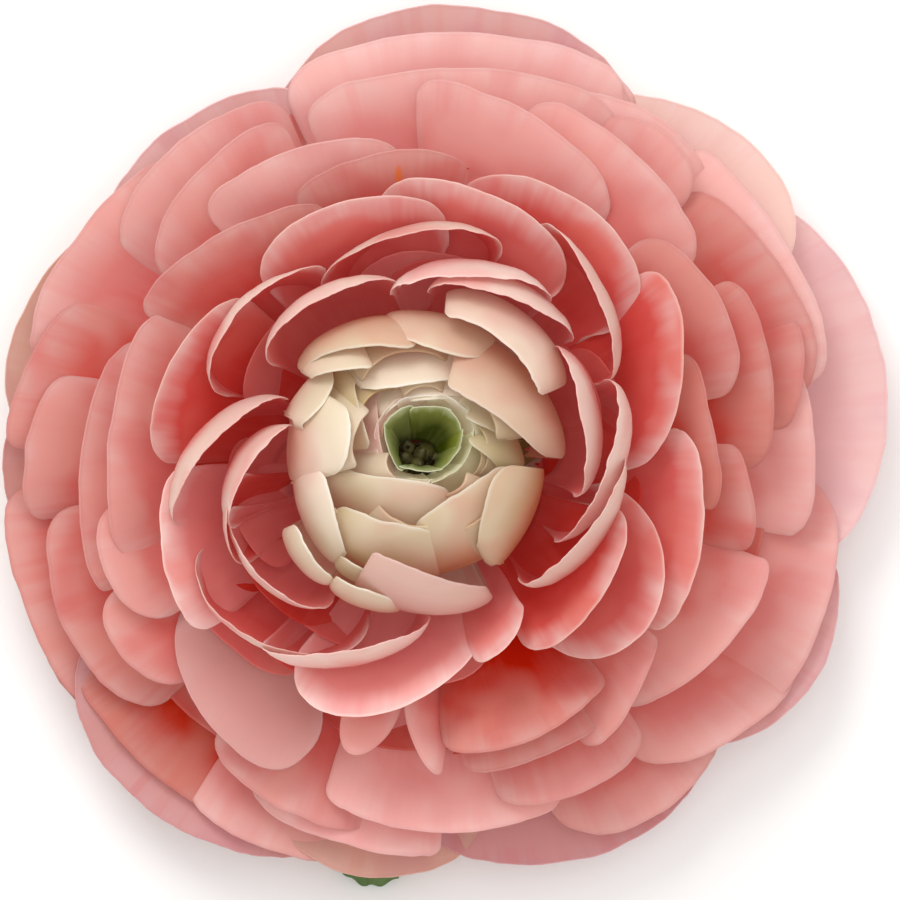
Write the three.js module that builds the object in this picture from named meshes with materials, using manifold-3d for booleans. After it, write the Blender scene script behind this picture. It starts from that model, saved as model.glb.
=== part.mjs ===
// A ranunculus bloom in full flower, cut close under its head and lying face up.
// Millimetres, +Z up. The tables are measured from the flower's own axis.
import * as THREE from 'three';
import { mergeVertices } from 'three/addons/utils/BufferGeometryUtils.js';
import Module from 'manifold-3d';

const wasm = await Module();
wasm.setup();

// Driving dimensions
const domeTop = 40;             // height of the dome that the open petals' tips stand on
const domeFall = 0.0155;        // the dome falls by this times the radius squared
const guardTipHeight = 8;       // height of the outermost petals' rims
const budCentreHeight = 26;     // the closed petals lie on nested spheres round this height
const bladeThickness = 0.8;     // of a petal
const pieceGap = 0.3;           // clearance between neighbouring pieces
const facetTolerance = 0.04;    // how far a joined facet may stray from the small ones
const uprightLean = 125;        // lean of a rim from the level at the axis, degrees
const leanPerMillimetre = 2.1;  // and how much of it is lost per millimetre of radius
const leastFold = 0.4;          // a petal that bulges out less has its rim's lean instead
const groundSink = 0.35;        // how far a sagging petal would pass into the surface
const guardRise = 0.6;          // a guard petal's rim is lifted by this share of its lift
const deepestRoot = 0.72;       // a closed petal starts at this share of its arc
const rootPerBulge = 0.035;     // less this for every millimetre that it bulges to
const bladeStep = 6.5;          // the widest that one step across a blade gets
const mostSteps = 4;            // across a blade

const stemRadius = 2.4;
const stemCutHeight = 0.9;      // the cut end stands clear of the surface
const stemTop = 2.4;
const neckRadius = 3.4;         // where the stem widens into the receptacle
const neckHeight = 3.2;
const receptacleRadius = 5;
const receptacleFoot = 4.3;
const receptacleTop = 12.3;

const greenThickness = 0.7;     // of a sepal and of the leaf
const sepalAzimuths = [8, 82, 150, 218, 300];
const sepalRoot = 3;
const sepalReach = 13.5;
const sepalHalfWidth = 3.3;
const sepalHeight = 3.1;
const sepalDroop = 2.2;
const leafAzimuth = 262.5;
const leafRoot = 1.5;
const leafReach = 44;
const leafHeight = 1.35;
const stalkHalfWidth = 1.1;
const leafWidening = 2.6;       // added to the stalk's half width at the leaf's end
const stalkShare = 0.35;        // of the leaf's length

const heartRadius = 3.3;
const heartFoot = 12.6;
const heartTop = 30;
const coneRadius = 2;
const carpelCount = 11;
const carpelSize = { radius: 0.45, length: 2.2, reach: 1.75, fall: 1.7 };
const stamenCount = 7;
const filamentSize = { radius: 0.42, reach: 2.72 };
const antherSize = { depth: 0.52, width: 0.6, length: 1.1, reach: 2.68 };
const eyeRadius = 3.6;
const goldenAngle = Math.PI * (3 - Math.sqrt(5));

const coreSides = 24;
const receptacleSides = 20;
const heartSides = 16;

const colours = {
  leafy_stem: '#7d8a55',
  heart: '#4f4a1c',
  bud_petals: '#e1d0bb',
  inner_petals: '#cf5a50',
  outer_petals: '#df8a80',
  guard_petals: '#e8b3ae',
};

// A fixed-seed random draw, so that every build gives the same flower.
function randomFrom(seed) {
  let state = seed;
  return () => {
    state = (state * 1664525 + 1013904223) % 4294967296;
    return state / 4294967296;
  };
}

// Each row is one petal's rim, read from above: left end x, y; tip x, y; right end x, y;
// how far the blade bulges out beyond its tip; how far the tip stands above its dome.

// Cream petals, closed over the heart. Their bulge gives the sphere that they lie on.
const budRows = [
  [1.7, 12.5, 7.5, 10.8, 10.3, 5.0, 1.7, 0],
  [2.0, 6.3, 6.5, 3.3, 12.0, -0.5, 6.2, 0],
  [7.5, -1.0, 5.1, -6.2, 8.7, -11.9, 5.1, 0],
  [-3.3, 12.8, 0, 9.8, 5.7, 9.1, 4.3, 0],
  [-11.7, 8.1, -8.0, 10.1, -0.7, 9.6, 0.8, 0],
  [-13.6, 4.6, -10.5, 3.3, -8.5, 7.5, 3.4, 0],
  [-5.8, 6.7, -1.5, 6.0, 5.3, 8.5, 5.2, 0],
  [-8.2, 4.8, -6.8, 0.8, -9.5, -1.9, 6.9, 0],
  [-9.8, -1.5, -8.2, -6.2, -8.7, -10.7, 3.9, 0],
  [-12.5, -6.7, -10.7, -9.7, -10.3, -14.1, 2.5, 0],
  [-8.5, -10.7, -6.3, -10.6, -4.0, -12.4, 2.3, 0],
  [-10.0, -14.4, -6.0, -12.6, -2.3, -14.7, 2.7, 0],
  [-4.8, -8.9, 0.5, -11.4, 6.2, -12.9, 5.3, 0],
  [-8.0, -5.0, -3.0, -6.2, 0.9, -7.4, 6.0, 0],
  [-0.7, -6.5, 3.0, -3.5, 7.5, -1.3, 7.4, 0],
  [-8.0, -2.4, -3.0, -1.9, 2.0, -3.4, 7.4, 0],
];

// Pale green petals that line the eye.
const eyeRows = [
  [-4.2, 1.3, -2.6, 3.8, 0.9, 4.7, 4.0, 0],
  [-1.4, 4.4, 1.7, 4.6, 4.4, 2.3, 4.4, 0],
  [2.6, 4.4, 4.2, 1.9, 3.7, -1.3, 4.0, 0],
  [4.6, 1.8, 3.4, -1.2, 0.6, -3.6, 4.6, 0],
  [2.4, -3.2, -0.6, -2.6, -3.7, -1.0, 4.6, 0],
  [-3.0, -2.6, -4.0, 0.4, -3.6, 3.4, 4.4, 0],
];

// Upright coral petals round the bud, with their rims curled in.
const crescentRows = [
  [-3.4, 15.3, 4.7, 17.5, 12.8, 15.0, 1.2, 0],
  [0, 15.7, 7.8, 15.6, 14.8, 11.0, 1.5, 0.4],
  [12.6, 10.6, 15.6, 3.0, 14.5, -4.4, 1.7, 0.6],
  [17.8, 7.5, 18.1, -0.7, 12.5, -8.9, 1.5, 0],
  [19.8, -0.2, 15.2, -8.5, 9.0, -12.4, 1.5, 0.6],
  [-2.2, 16.6, -11.0, 14.6, -15.3, 8.5, 0.9, 0],
  [7.8, 19.6, -0.5, 21.7, -10.7, 16.5, 0.5, 0],
  [-9.8, 18.5, -18.9, 12.8, -20.0, 5.5, 0.5, 0],
  [11.5, 23.3, 17.5, 13.8, 17.2, 6.8, 0.8, 0],
  [-14.2, 5.3, -24.0, -5.4, -25.0, -17.2, 1.5, 1.5],
  [-14.0, 3.8, -18.6, -5.7, -18.5, -10.9, 1.8, 1],
  [-19.3, -5.2, -15.9, -12.4, -9.0, -15.1, 0.5, -0.5],
  [-22.7, -9.5, -16.3, -18.5, -5.5, -17.5, 0.3, 0],
  [-16.3, -18.9, -7.9, -19.5, 0.7, -16.0, 1.5, 0.4],
];

// Deep coral shells round them, opening outwards.
const shellRows = [
  [22.0, 18.3, 25.3, 8.3, 20.3, -1.4, 0, 0],
  [4.0, 26.8, 17.5, 23.1, 19.0, 12.8, 0, 0],
  [-4.5, 25.6, 7.5, 24.9, 13.5, 16.8, 0, 0],
  [2.2, 22.8, -8.5, 24.5, -16.3, 17.0, 0, 0],
  [18.8, -5.5, 17.5, -13.7, 10.0, -19.4, 0, 1],
  [20.0, -4.2, 22.5, -16.2, 12.0, -18.7, 0, 0],
  [24.2, 2.3, 27.4, -6.7, 23.0, -18.0, 0, 0],
  [-13.0, -21.7, -3.5, -25.3, 5.8, -16.5, 0, 0],
  [4.5, -20.2, 8.0, -18.7, 9.2, -14.4, 0, -2],
  [-17.5, 15.3, -25.5, 7.8, -25.3, -1.2, 0, 0],
];

// Salmon petals, wide open.
const openRows = [
  [4.5, 27.1, -4.0, 29.6, -13.0, 24.8, 0, 0],
  [22.0, 21.8, 29.7, 13.8, 28.7, 5.3, 0, 0],
  [-10.0, 24.8, -21.5, 20.6, -27.5, 13.3, 0, 0],
  [-26.0, 14.3, -31.3, -0.2, -27.5, -10.7, 0, 0],
  [29.0, 17.2, 34.3, 9.2, 32.6, -2.1, 0, 0],
  [25.5, 10.3, 28.6, 0.3, 27.5, -5.7, 0, -1],
  [30.0, 1.3, 32.6, -4.7, 31.0, -10.2, 0, -1],
  [32.5, -9.9, 31.1, -17.5, 20.0, -25.9, 0, 0],
  [1.5, -29.2, 12.5, -27.2, 17.5, -21.5, 0, 0],
  [3.2, -30.8, 11.5, -30.1, 18.3, -25.3, 0, -1],
  [22.8, -17.7, 20.7, -24.2, 15.0, -29.2, 0, 0],
  [-25.2, -17.2, -17.5, -30.4, -11.0, -24.7, 0, 0],
  [27.1, 18.7, 20.1, 30.3, 9.6, 33.9, 0, 1],
  [18.8, 24.5, 7.9, 34.8, -1.3, 34.1, 0, 1],
  [35.5, 1.9, 37.9, 8.7, 35.7, 14.3, 0, -1],
  [38.1, 5.4, 34.7, 19.9, 24.8, 25.3, 0, -1],
  [26.4, 25.1, 23.7, 32.1, 16.3, 32.5, 0, -1],
  [-2.1, 30.0, -15.0, 29.2, -20.9, 22.3, 0, 0],
  [-13.2, 32.3, -22.8, 27.8, -26.1, 17.4, 0, 0],
  [-30.1, -4.7, -31.5, -12.2, -24.7, -16.2, 0, 1],
  [-29.9, -12.8, -30.2, -19.8, -23.2, -22.8, 0, 1],
  [-30.5, 11.4, -34.3, -6.0, -29.9, -12.8, 0, -1],
  [-10.3, -33.2, 1.8, -37.8, 14.2, -33.9, 0, 0],
  [6.4, -33.4, 15.0, -33.9, 22.0, -27.5, 0, 0],
];

// Pale petals under them.
const paleRows = [
  [39.9, 7.0, 35.0, 22.5, 25.6, 30.0, 0, -1],
  [-13.4, 34.4, -25.0, 30.5, -30.0, 19.2, 0, -2],
  [-35.1, 8.3, -39.9, 0.1, -37.3, -7.2, 0, -1],
  [-36.1, -5.1, -35.4, -18.2, -25.4, -24.9, 0, -1],
  [-21.0, -27.5, -13.9, -35.6, -4.5, -35.5, 0, -1],
  [12.2, -36.0, 23.9, -36.0, 28.7, -25.3, 0, -1],
  [28.8, -28.2, 40.0, -15.9, 37.4, -1.8, 0, -1],
];

// Guard petals: azimuths of the left end, the tip and the right end in degrees, radii of the
// ends and the tip, and how far the petal lies above the lowest ones.
const guardRows = [
  [-20, 12, 42, 38, 47.0, 0],
  [26, 43, 66, 38, 45.2, 1.4],
  [52, 83, 117, 36, 45.2, 0],
  [103, 128, 148, 35, 41.6, 1.4],
  [134, 162, 180, 36, 42.9, 0],
  [166, 184, 203, 36, 42.4, 1.4],
  [190, 211, 223, 37, 43.3, 0],
  [208, 233, 260, 38, 45.3, 3.4],
  [246, 262, 281, 36, 43.0, 2.3],
  [267, 296, 323, 36, 44.0, 0],
  [309, 331, 352, 37, 45.2, 1.4],
];

// Where each set of petals springs from, how its rims fall towards their ends, how many steps
// a blade has along it and over which share of it, and the profile of the set's core
const sets = {
  bud: { rootRadius: 5, rootHeight: 13.6, endDrop: 1, skew: 0.5, along: 3, from: 0.12 },
  inner: { rootRadius: 7, rootHeight: 9.8, endDrop: 5, skew: 1, along: 2, from: 0.36 },
  outer: { rootRadius: 7.5, rootHeight: 8.2, endDrop: 4, skew: 1, along: 2, from: 0.4 },
  guard: { rootRadius: 8, rootHeight: 6.5, endDrop: 2, skew: 1, along: 3, from: 0.25 },
};

const cores = {
  bud: [
    [3.6, 12.6], [6.2, 12.6], [10, 14.6], [12.3, 19], [12.6, 25], [11.4, 30], [9, 33],
    [6.8, 33.6], [5.2, 29], [3.6, 22], [3.6, 12.6],
  ],
  inner: [
    [5.3, 9.4], [9, 9.5], [16, 10.9], [21.5, 15.5], [22, 21], [18.5, 24], [15.5, 21],
    [12.5, 14.6], [9, 12.4], [5.3, 11.6], [5.3, 9.4],
  ],
  outer: [
    [5.3, 7.4], [9, 6.9], [15, 4.4], [24, 3.8], [29, 9.5], [28, 16], [24.5, 17],
    [21.5, 14.9], [16, 10.5], [9, 9.1], [5.3, 9.0], [5.3, 7.4],
  ],
  guard: [
    [5.3, 5.2], [8, 5.0], [12, 3.2], [18, 1.5], [24, 1.5], [24, 3.0], [15, 3.9], [9, 6.4],
    [5.3, 7.0], [5.3, 5.2],
  ],
};

// Solids

function solidOf(geometry) {
  const bare = geometry.clone();
  bare.deleteAttribute('normal');
  bare.deleteAttribute('uv');
  const merged = mergeVertices(bare, 1e-4);
  const mesh = new wasm.Mesh({
    numProp: 3,
    vertProperties: new Float32Array(merged.attributes.position.array),
    triVerts: new Uint32Array(merged.index.array),
  });
  return new wasm.Manifold(mesh);
}

function geometryOf(solid) {
  const mesh = solid.getMesh();
  const geometry = new THREE.BufferGeometry();
  geometry.setAttribute('position', new THREE.BufferAttribute(mesh.vertProperties, 3));
  geometry.setIndex(new THREE.BufferAttribute(mesh.triVerts, 1));
  geometry.computeVertexNormals();
  return geometry;
}

// One body: loose scraps are dropped, and a hollow that the fusing sealed is filled.
function oneBody(solid) {
  const pieces = solid.decompose();
  return pieces.reduce((best, piece) => (piece.volume() > best.volume() ? piece : best));
}

function fused(solids) {
  return solids.reduce((whole, solid) => whole.add(solid));
}

function revolved(profile, sides) {
  const points = profile.map(([radius, height]) => new THREE.Vector2(radius, height));
  const lathe = new THREE.LatheGeometry(points, sides);
  lathe.rotateX(Math.PI / 2);
  const solid = solidOf(lathe);
  if (solid.volume() > 0) return solid;
  lathe.index.array.reverse();
  return solidOf(lathe);
}

// Moves point i of a grid away from its neighbour.
function pushAway(place, i, neighbour, distance) {
  const point = new THREE.Vector3().fromBufferAttribute(place, i);
  const away = point.clone().sub(new THREE.Vector3().fromBufferAttribute(place, neighbour));
  point.addScaledVector(away.normalize(), distance);
  place.setXYZ(i, point.x, point.y, point.z);
}

function widenGrid(place, across, along, distance) {
  const width = across + 1;
  for (let row = 0; row <= along; row += 1) {
    pushAway(place, row * width, row * width + 1, distance);
    pushAway(place, row * width + across, row * width + across - 1, distance);
  }
  for (let column = 0; column <= across; column += 1) {
    pushAway(place, column, column + width, distance);
    pushAway(place, along * width + column, (along - 1) * width + column, distance);
  }
}

// A blade of even thickness along a surface given as a point for each u from -1 to 1 and each
// v from 0 to 1, swollen all round by grow. Both faces are split into triangles alike.
function bladeSolid(surfacePoint, across, along, blade, grow) {
  const thickness = blade + 2 * grow;
  const middle = new THREE.PlaneGeometry(1, 1, across, along);
  const place = middle.attributes.position;
  const count = place.count;
  for (let row = 0; row <= along; row += 1) {
    for (let column = 0; column <= across; column += 1) {
      const point = surfacePoint((2 * column) / across - 1, row / along);
      place.setXYZ(row * (across + 1) + column, point.x, point.y, point.z);
    }
  }
  middle.computeVertexNormals();
  if (grow > 0) widenGrid(place, across, along, grow);
  const normal = middle.attributes.normal;
  const positions = [];
  for (const side of [0.5, -0.5]) {
    for (let i = 0; i < count; i += 1) {
      positions.push(place.getX(i) + side * thickness * normal.getX(i));
      positions.push(place.getY(i) + side * thickness * normal.getY(i));
      positions.push(place.getZ(i) + side * thickness * normal.getZ(i));
    }
  }
  const faces = Array.from(middle.index.array);
  const indices = [...faces];
  for (let i = 0; i < faces.length; i += 3) {
    indices.push(faces[i] + count, faces[i + 2] + count, faces[i + 1] + count);
  }
  const edge = edgeLoop(across, along);
  edge.forEach((start, i) => {
    const end = edge[(i + 1) % edge.length];
    indices.push(start, start + count, end + count);
    indices.push(start, end + count, end);
  });
  const geometry = new THREE.BufferGeometry();
  geometry.setAttribute('position', new THREE.Float32BufferAttribute(positions, 3));
  geometry.setIndex(indices);
  return solidOf(geometry);
}

// The grid's outer points in order, with its face on the right hand side.
function edgeLoop(across, along) {
  const loop = [];
  const width = across + 1;
  for (let column = across; column > 0; column -= 1) loop.push(column);
  for (let row = 0; row < along; row += 1) loop.push(row * width);
  for (let column = 0; column < across; column += 1) loop.push(along * width + column);
  for (let row = along; row > 0; row -= 1) loop.push(row * width + across);
  return loop;
}

// Petals

// Turn of the arc from the root to the rim that makes it bulge out to the given radius, found
// by halving the span between the least and the most that an arc turns
function turnForBulge(run, rise, rootRadius, bulge) {
  const leastTurn = 0.1;
  const mostTurn = Math.PI * 1.7;
  const halvings = 40;
  const chord = Math.hypot(run, rise);
  const slope = Math.atan2(rise, run);
  let low = leastTurn;
  let high = mostTurn;
  for (let step = 0; step < halvings; step += 1) {
    const turn = (low + high) / 2;
    const radius = chord / (2 * Math.sin(turn / 2));
    const widest = rootRadius + radius * (1 - Math.sin(slope - turn / 2));
    if (widest > bulge) high = turn;
    else low = turn;
  }
  return (low + high) / 2;
}

function vector(x, y) {
  return new THREE.Vector2(x, y);
}

function polar(azimuth, radius) {
  const angle = THREE.MathUtils.degToRad(azimuth);
  return vector(radius * Math.cos(angle), radius * Math.sin(angle));
}

// A petal that lies on a sphere over the heart
function budPetal(row, set) {
  const leastSquare = 0.2;
  const [leftX, leftY, tipX, tipY, rightX, rightY, fold] = row;
  const tip = vector(tipX, tipY);
  const bulge = tip.length() + fold;
  const sphere = (radius) => Math.sqrt(Math.max(bulge ** 2 - radius ** 2, leastSquare));
  const height = (radius) => budCentreHeight + sphere(radius);
  const turn = turnForBulge(
    tip.length() - set.rootRadius, height(tip.length()) - set.rootHeight, set.rootRadius, bulge);
  const from = Math.max(set.from, deepestRoot - rootPerBulge * bulge);
  return {
    ...set, left: vector(leftX, leftY), tip, right: vector(rightX, rightY), height, turn, from,
  };
}

// A petal whose tip stands on the dome
function openPetal(row, set) {
  const [leftX, leftY, tipX, tipY, rightX, rightY, fold, lift] = row;
  const tip = vector(tipX, tipY);
  const reach = tip.length();
  const tipHeight = domeTop - domeFall * reach * reach + lift;
  const run = reach - set.rootRadius;
  const rise = tipHeight - set.rootHeight;
  const lean = THREE.MathUtils.degToRad(uprightLean - leanPerMillimetre * reach);
  const turn = fold > leastFold
    ? turnForBulge(run, rise, set.rootRadius, reach + fold)
    : 2 * (lean - Math.atan2(rise, run));
  return {
    ...set, left: vector(leftX, leftY), tip, right: vector(rightX, rightY), turn,
    height: () => tipHeight,
  };
}

// A guard petal sags from its root to the surface and rises again to its rim.
function guardPetal(row, set) {
  const [leftAzimuth, tipAzimuth, rightAzimuth, endRadius, reach, lift] = row;
  const tipHeight = guardTipHeight + guardRise * lift;
  const lowest = lift - groundSink + bladeThickness / 2;
  const sag = (set.rootHeight + tipHeight) / 2 - lowest;
  const chord = Math.hypot(reach - set.rootRadius, tipHeight - set.rootHeight);
  return {
    ...set,
    left: polar(leftAzimuth, endRadius),
    tip: polar(tipAzimuth, reach),
    right: polar(rightAzimuth, endRadius),
    turn: 4 * Math.atan((2 * sag) / chord),
    height: () => tipHeight,
  };
}

// A petal's rim is half an ellipse through its two ends and its tip. Every line from its root
// to its rim is an arc that stands upright over a line from the axis.
function petalPoint(petal, u, v) {
  const middle = petal.left.clone().add(petal.right).multiplyScalar(0.5);
  const half = petal.right.clone().sub(middle);
  const depth = petal.tip.clone().sub(middle);
  const side = Math.sin((u * Math.PI) / 2);
  const rim = middle.clone().addScaledVector(half, side);
  rim.addScaledVector(depth, Math.cos((u * Math.PI) / 2));
  const rimHeight = petal.height(rim.length()) - petal.endDrop * side * side - petal.skew * side;
  const run = rim.length() - petal.rootRadius;
  const rise = rimHeight - petal.rootHeight;
  const start = Math.atan2(rise, run) - petal.turn / 2;
  const arc = Math.hypot(run, rise) / (2 * Math.sin(petal.turn / 2));
  const angle = start + petal.turn * (petal.from + (1 - petal.from) * v);
  const radius = petal.rootRadius + arc * (Math.sin(angle) - Math.sin(start));
  const height = petal.rootHeight + arc * (Math.cos(start) - Math.cos(angle));
  const azimuth = Math.atan2(rim.y, rim.x);
  return new THREE.Vector3(radius * Math.cos(azimuth), radius * Math.sin(azimuth), height);
}

function petalSolid(petal, grow) {
  const width = petal.left.distanceTo(petal.right);
  const across = Math.min(mostSteps, Math.max(3, Math.ceil(width / bladeStep)));
  const blade = (side) => bladeSolid(
    (u, v) => petalPoint(petal, side * u, v), across, petal.along, bladeThickness, grow);
  const solid = blade(1);
  return solid.volume() > 0 ? solid : blade(-1);
}

// A closed profile with every corner moved outwards along the mean of its two sides' normals
function grownProfile(profile, grow) {
  const corners = profile.slice(0, -1).map(([radius, height]) => vector(radius, height));
  const turning = THREE.ShapeUtils.area(corners) > 0 ? 1 : -1;
  const grown = corners.map((corner, i) => {
    const before = corners[(i + corners.length - 1) % corners.length];
    const after = corners[(i + 1) % corners.length];
    const into = corner.clone().sub(before).normalize();
    const out = after.clone().sub(corner).normalize();
    const normal = vector(into.y + out.y, -into.x - out.x).multiplyScalar(turning).normalize();
    return corner.clone().addScaledVector(normal, grow).toArray();
  });
  return [...grown, grown[0]];
}

// A set's petals fused on its core, and the same swollen by the gap, to cut their neighbours
function petalSet(petals, profile, grow) {
  const core = revolved(grownProfile(profile, grow), coreSides);
  return fused([core, ...petals.map((petal) => petalSolid(petal, grow))]);
}

// Stem, sepals, leaf and heart

function receptacle(grow) {
  const profile = [
    [0, stemCutHeight], [stemRadius + grow, stemCutHeight], [stemRadius + grow, stemTop],
    [neckRadius + grow, neckHeight], [receptacleRadius + grow, receptacleFoot],
    [receptacleRadius + grow, receptacleTop + grow], [0, receptacleTop + grow],
  ];
  return revolved(profile, receptacleSides);
}

// A point of a green blade that lies out from the axis, turned to its azimuth
function greenPoint(radius, aside, height, azimuth) {
  const upright = new THREE.Vector3(0, 0, 1);
  return new THREE.Vector3(radius, aside, height)
    .applyAxisAngle(upright, THREE.MathUtils.degToRad(azimuth));
}

// Widest below its middle, pointed and drooping
function sepal(azimuth, grow) {
  const surface = (u, v) => {
    const radius = sepalRoot + (sepalReach - sepalRoot) * v;
    const width = sepalHalfWidth * Math.sin(Math.PI * (0.22 + 0.7 * v));
    const height = sepalHeight - sepalDroop * v ** 0.8 - 0.25 * u * u;
    return greenPoint(radius, u * width, height, azimuth);
  };
  return bladeSolid((u, v) => surface(-u, v), 2, 4, greenThickness, grow);
}

// A narrow stalk that widens into a blunt leaf
function leaf(grow) {
  const surface = (u, v) => {
    const radius = leafRoot + (leafReach - leafRoot - 1.4 * Math.abs(u)) * v;
    const width = stalkHalfWidth + leafWidening * Math.max(0, v - stalkShare) ** 0.8;
    const height = leafHeight - 0.35 * v + 0.2 * u * u;
    return greenPoint(radius, u * width, height, leafAzimuth);
  };
  return bladeSolid((u, v) => surface(-u, v), 2, 5, greenThickness, grow);
}

function leafyStem(grow) {
  const sepals = sepalAzimuths.map((azimuth) => sepal(azimuth, grow));
  return fused([receptacle(grow), leaf(grow), ...sepals]);
}

// The cone that the carpels sit on, with its foot
function heartCone() {
  return revolved([
    [0, heartFoot], [heartRadius, heartFoot], [heartRadius, heartFoot + 0.8],
    [coneRadius, heartFoot + 1.6], [coneRadius, heartTop - 2.4], [1.3, heartTop - 0.8],
    [0, heartTop - 0.3],
  ], heartSides);
}

// Pointed carpels in a golden angle spiral
function heartCarpels() {
  const carpels = [];
  for (let i = 0; i < carpelCount; i += 1) {
    const share = (i + 0.5) / carpelCount;
    const carpel = new THREE.ConeGeometry(carpelSize.radius, carpelSize.length, 5);
    carpel.rotateX(Math.PI / 2);
    carpel.translate(
      carpelSize.reach * Math.sqrt(share), 0, heartTop - carpelSize.fall * share * share);
    carpel.rotateZ(i * goldenAngle);
    carpels.push(solidOf(carpel));
  }
  return carpels;
}

// Stamens of uneven length that stand clear round the cone, on its foot
function heartStamens() {
  const random = randomFrom(7);
  const root = heartFoot + 0.4;
  const stamens = [];
  for (let i = 0; i < stamenCount; i += 1) {
    const azimuth = ((i + 0.3 * random()) / stamenCount) * 2 * Math.PI;
    const tip = heartTop - 1.6 + 1.6 * random();
    const filament = new THREE.CylinderGeometry(
      filamentSize.radius, filamentSize.radius, tip - root, 4);
    filament.rotateX(Math.PI / 2);
    filament.translate(filamentSize.reach, 0, (root + tip) / 2);
    const anther = new THREE.OctahedronGeometry(1, 0);
    anther.scale(antherSize.depth, antherSize.width, antherSize.length);
    anther.translate(antherSize.reach, 0, tip);
    filament.rotateZ(azimuth);
    anther.rotateZ(azimuth);
    stamens.push(solidOf(filament), solidOf(anther));
  }
  return stamens;
}

function heart() {
  return fused([heartCone(), ...heartCarpels(), ...heartStamens()]);
}

// A tall plug that keeps the eye open over the heart, and widens a little upwards
function eyeWell() {
  const plug = [[0, 11], [eyeRadius, 11], [eyeRadius, heartTop], [eyeRadius + 0.3, 45], [0, 45]];
  return revolved(plug, heartSides);
}

// Everything below the surface that the flower lies on
function underground() {
  const width = 200;
  const depth = 20;
  const slab = new THREE.BoxGeometry(width, width, depth);
  slab.translate(0, 0, -depth / 2);
  return solidOf(slab);
}

// Assembly

const budPetals = [...budRows, ...eyeRows].map((row) => budPetal(row, sets.bud));
const innerPetals = [...crescentRows, ...shellRows].map((row) => openPetal(row, sets.inner));
const outerPetals = [...openRows, ...paleRows].map((row) => openPetal(row, sets.outer));
const guardPetals = guardRows.map((row) => guardPetal(row, sets.guard));

// Each set, swollen by the gap, is cut out of the sets outside it.
const stemRoom = leafyStem(pieceGap);
const budRoom = petalSet(budPetals, cores.bud, pieceGap);
const innerRoom = petalSet(innerPetals, cores.inner, pieceGap);
const outerRoom = petalSet(outerPetals, cores.outer, pieceGap);

const pieces = {
  leafy_stem: leafyStem(0),
  heart: heart(),
  bud_petals: petalSet(budPetals, cores.bud, 0).subtract(eyeWell()).subtract(stemRoom),
  inner_petals: petalSet(innerPetals, cores.inner, 0).subtract(budRoom).subtract(stemRoom),
  outer_petals: petalSet(outerPetals, cores.outer, 0)
    .subtract(innerRoom).subtract(budRoom).subtract(stemRoom),
  guard_petals: petalSet(guardPetals, cores.guard, 0)
    .subtract(outerRoom).subtract(innerRoom).subtract(stemRoom).subtract(underground()),
};

const flower = new THREE.Group();
for (const [name, solid] of Object.entries(pieces)) {
  const material = new THREE.MeshStandardMaterial({
    color: colours[name], roughness: 0.6, metalness: 0, side: THREE.DoubleSide,
  });
  const lightened = oneBody(oneBody(solid).simplify(facetTolerance));
  const mesh = new THREE.Mesh(geometryOf(lightened), material);
  mesh.name = name;
  flower.add(mesh);
}

// The origin is under the middle of the flower's box, on the surface that it lies on.
const box = new THREE.Box3().setFromObject(flower);
const middle = box.getCenter(new THREE.Vector3());
flower.position.set(-middle.x, -middle.y, -box.min.z);

export default flower;
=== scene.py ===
"""A ranunculus bloom cut close under its head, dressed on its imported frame.

Metres, +Z up. Tables of petals are in millimetres, measured from the bloom's own axis.
"""

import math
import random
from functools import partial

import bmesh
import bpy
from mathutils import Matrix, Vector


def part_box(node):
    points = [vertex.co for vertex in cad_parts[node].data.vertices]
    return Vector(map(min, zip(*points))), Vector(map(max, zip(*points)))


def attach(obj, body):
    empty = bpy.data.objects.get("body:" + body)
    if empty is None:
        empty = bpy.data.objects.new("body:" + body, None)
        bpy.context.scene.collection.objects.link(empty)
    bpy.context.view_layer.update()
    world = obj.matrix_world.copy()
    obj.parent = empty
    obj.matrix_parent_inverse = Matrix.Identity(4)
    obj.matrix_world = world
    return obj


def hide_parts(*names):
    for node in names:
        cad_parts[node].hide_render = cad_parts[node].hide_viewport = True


bl_info = {
    "name": "Ranunculus Bloom",
    "version": (1, 0, 0),
    "blender": (4, 5, 0),
    "location": "View3D > Sidebar > Bloom",
    "description": "Grows the petals, heart and green parts of a ranunculus bloom on its frame",
    "category": "Object",
}

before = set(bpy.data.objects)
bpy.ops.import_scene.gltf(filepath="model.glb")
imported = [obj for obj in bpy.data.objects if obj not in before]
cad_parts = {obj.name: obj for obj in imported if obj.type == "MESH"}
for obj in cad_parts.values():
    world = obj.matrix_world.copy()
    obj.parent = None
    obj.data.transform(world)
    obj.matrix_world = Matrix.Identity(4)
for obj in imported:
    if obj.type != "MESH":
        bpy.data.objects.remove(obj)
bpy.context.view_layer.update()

# Places that come from the frame
MM = 0.001
HEART_LOW, HEART_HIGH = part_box("heart")
AXIS = Vector(((HEART_LOW.x + HEART_HIGH.x) / 2, (HEART_LOW.y + HEART_HIGH.y) / 2, 0))

# Kinds of node that the trees use most
MATH = "ShaderNodeMath"
VECTOR = "ShaderNodeVectorMath"
RANGE = "ShaderNodeMapRange"
NOISE = "ShaderNodeTexNoise"
JOIN = "ShaderNodeCombineXYZ"
SPLIT = "ShaderNodeSeparateXYZ"
ATTRIBUTE = "ShaderNodeAttribute"
BUMP = "ShaderNodeBump"
SKIN = "ShaderNodeBsdfPrincipled"
SURFACE = "ShaderNodeOutputMaterial"
RANDOM = "FunctionNodeRandomValue"
NAMED = "GeometryNodeInputNamedAttribute"
STORE = "GeometryNodeStoreNamedAttribute"
POSITION = "GeometryNodeInputPosition"
SET_PLACE = "GeometryNodeSetPosition"
COPIES = "GeometryNodeInstanceOnPoints"
OPERATIONS = {"+": "ADD", "-": "SUBTRACT", "*": "MULTIPLY", "/": "DIVIDE", "*+": "MULTIPLY_ADD"}

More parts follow.
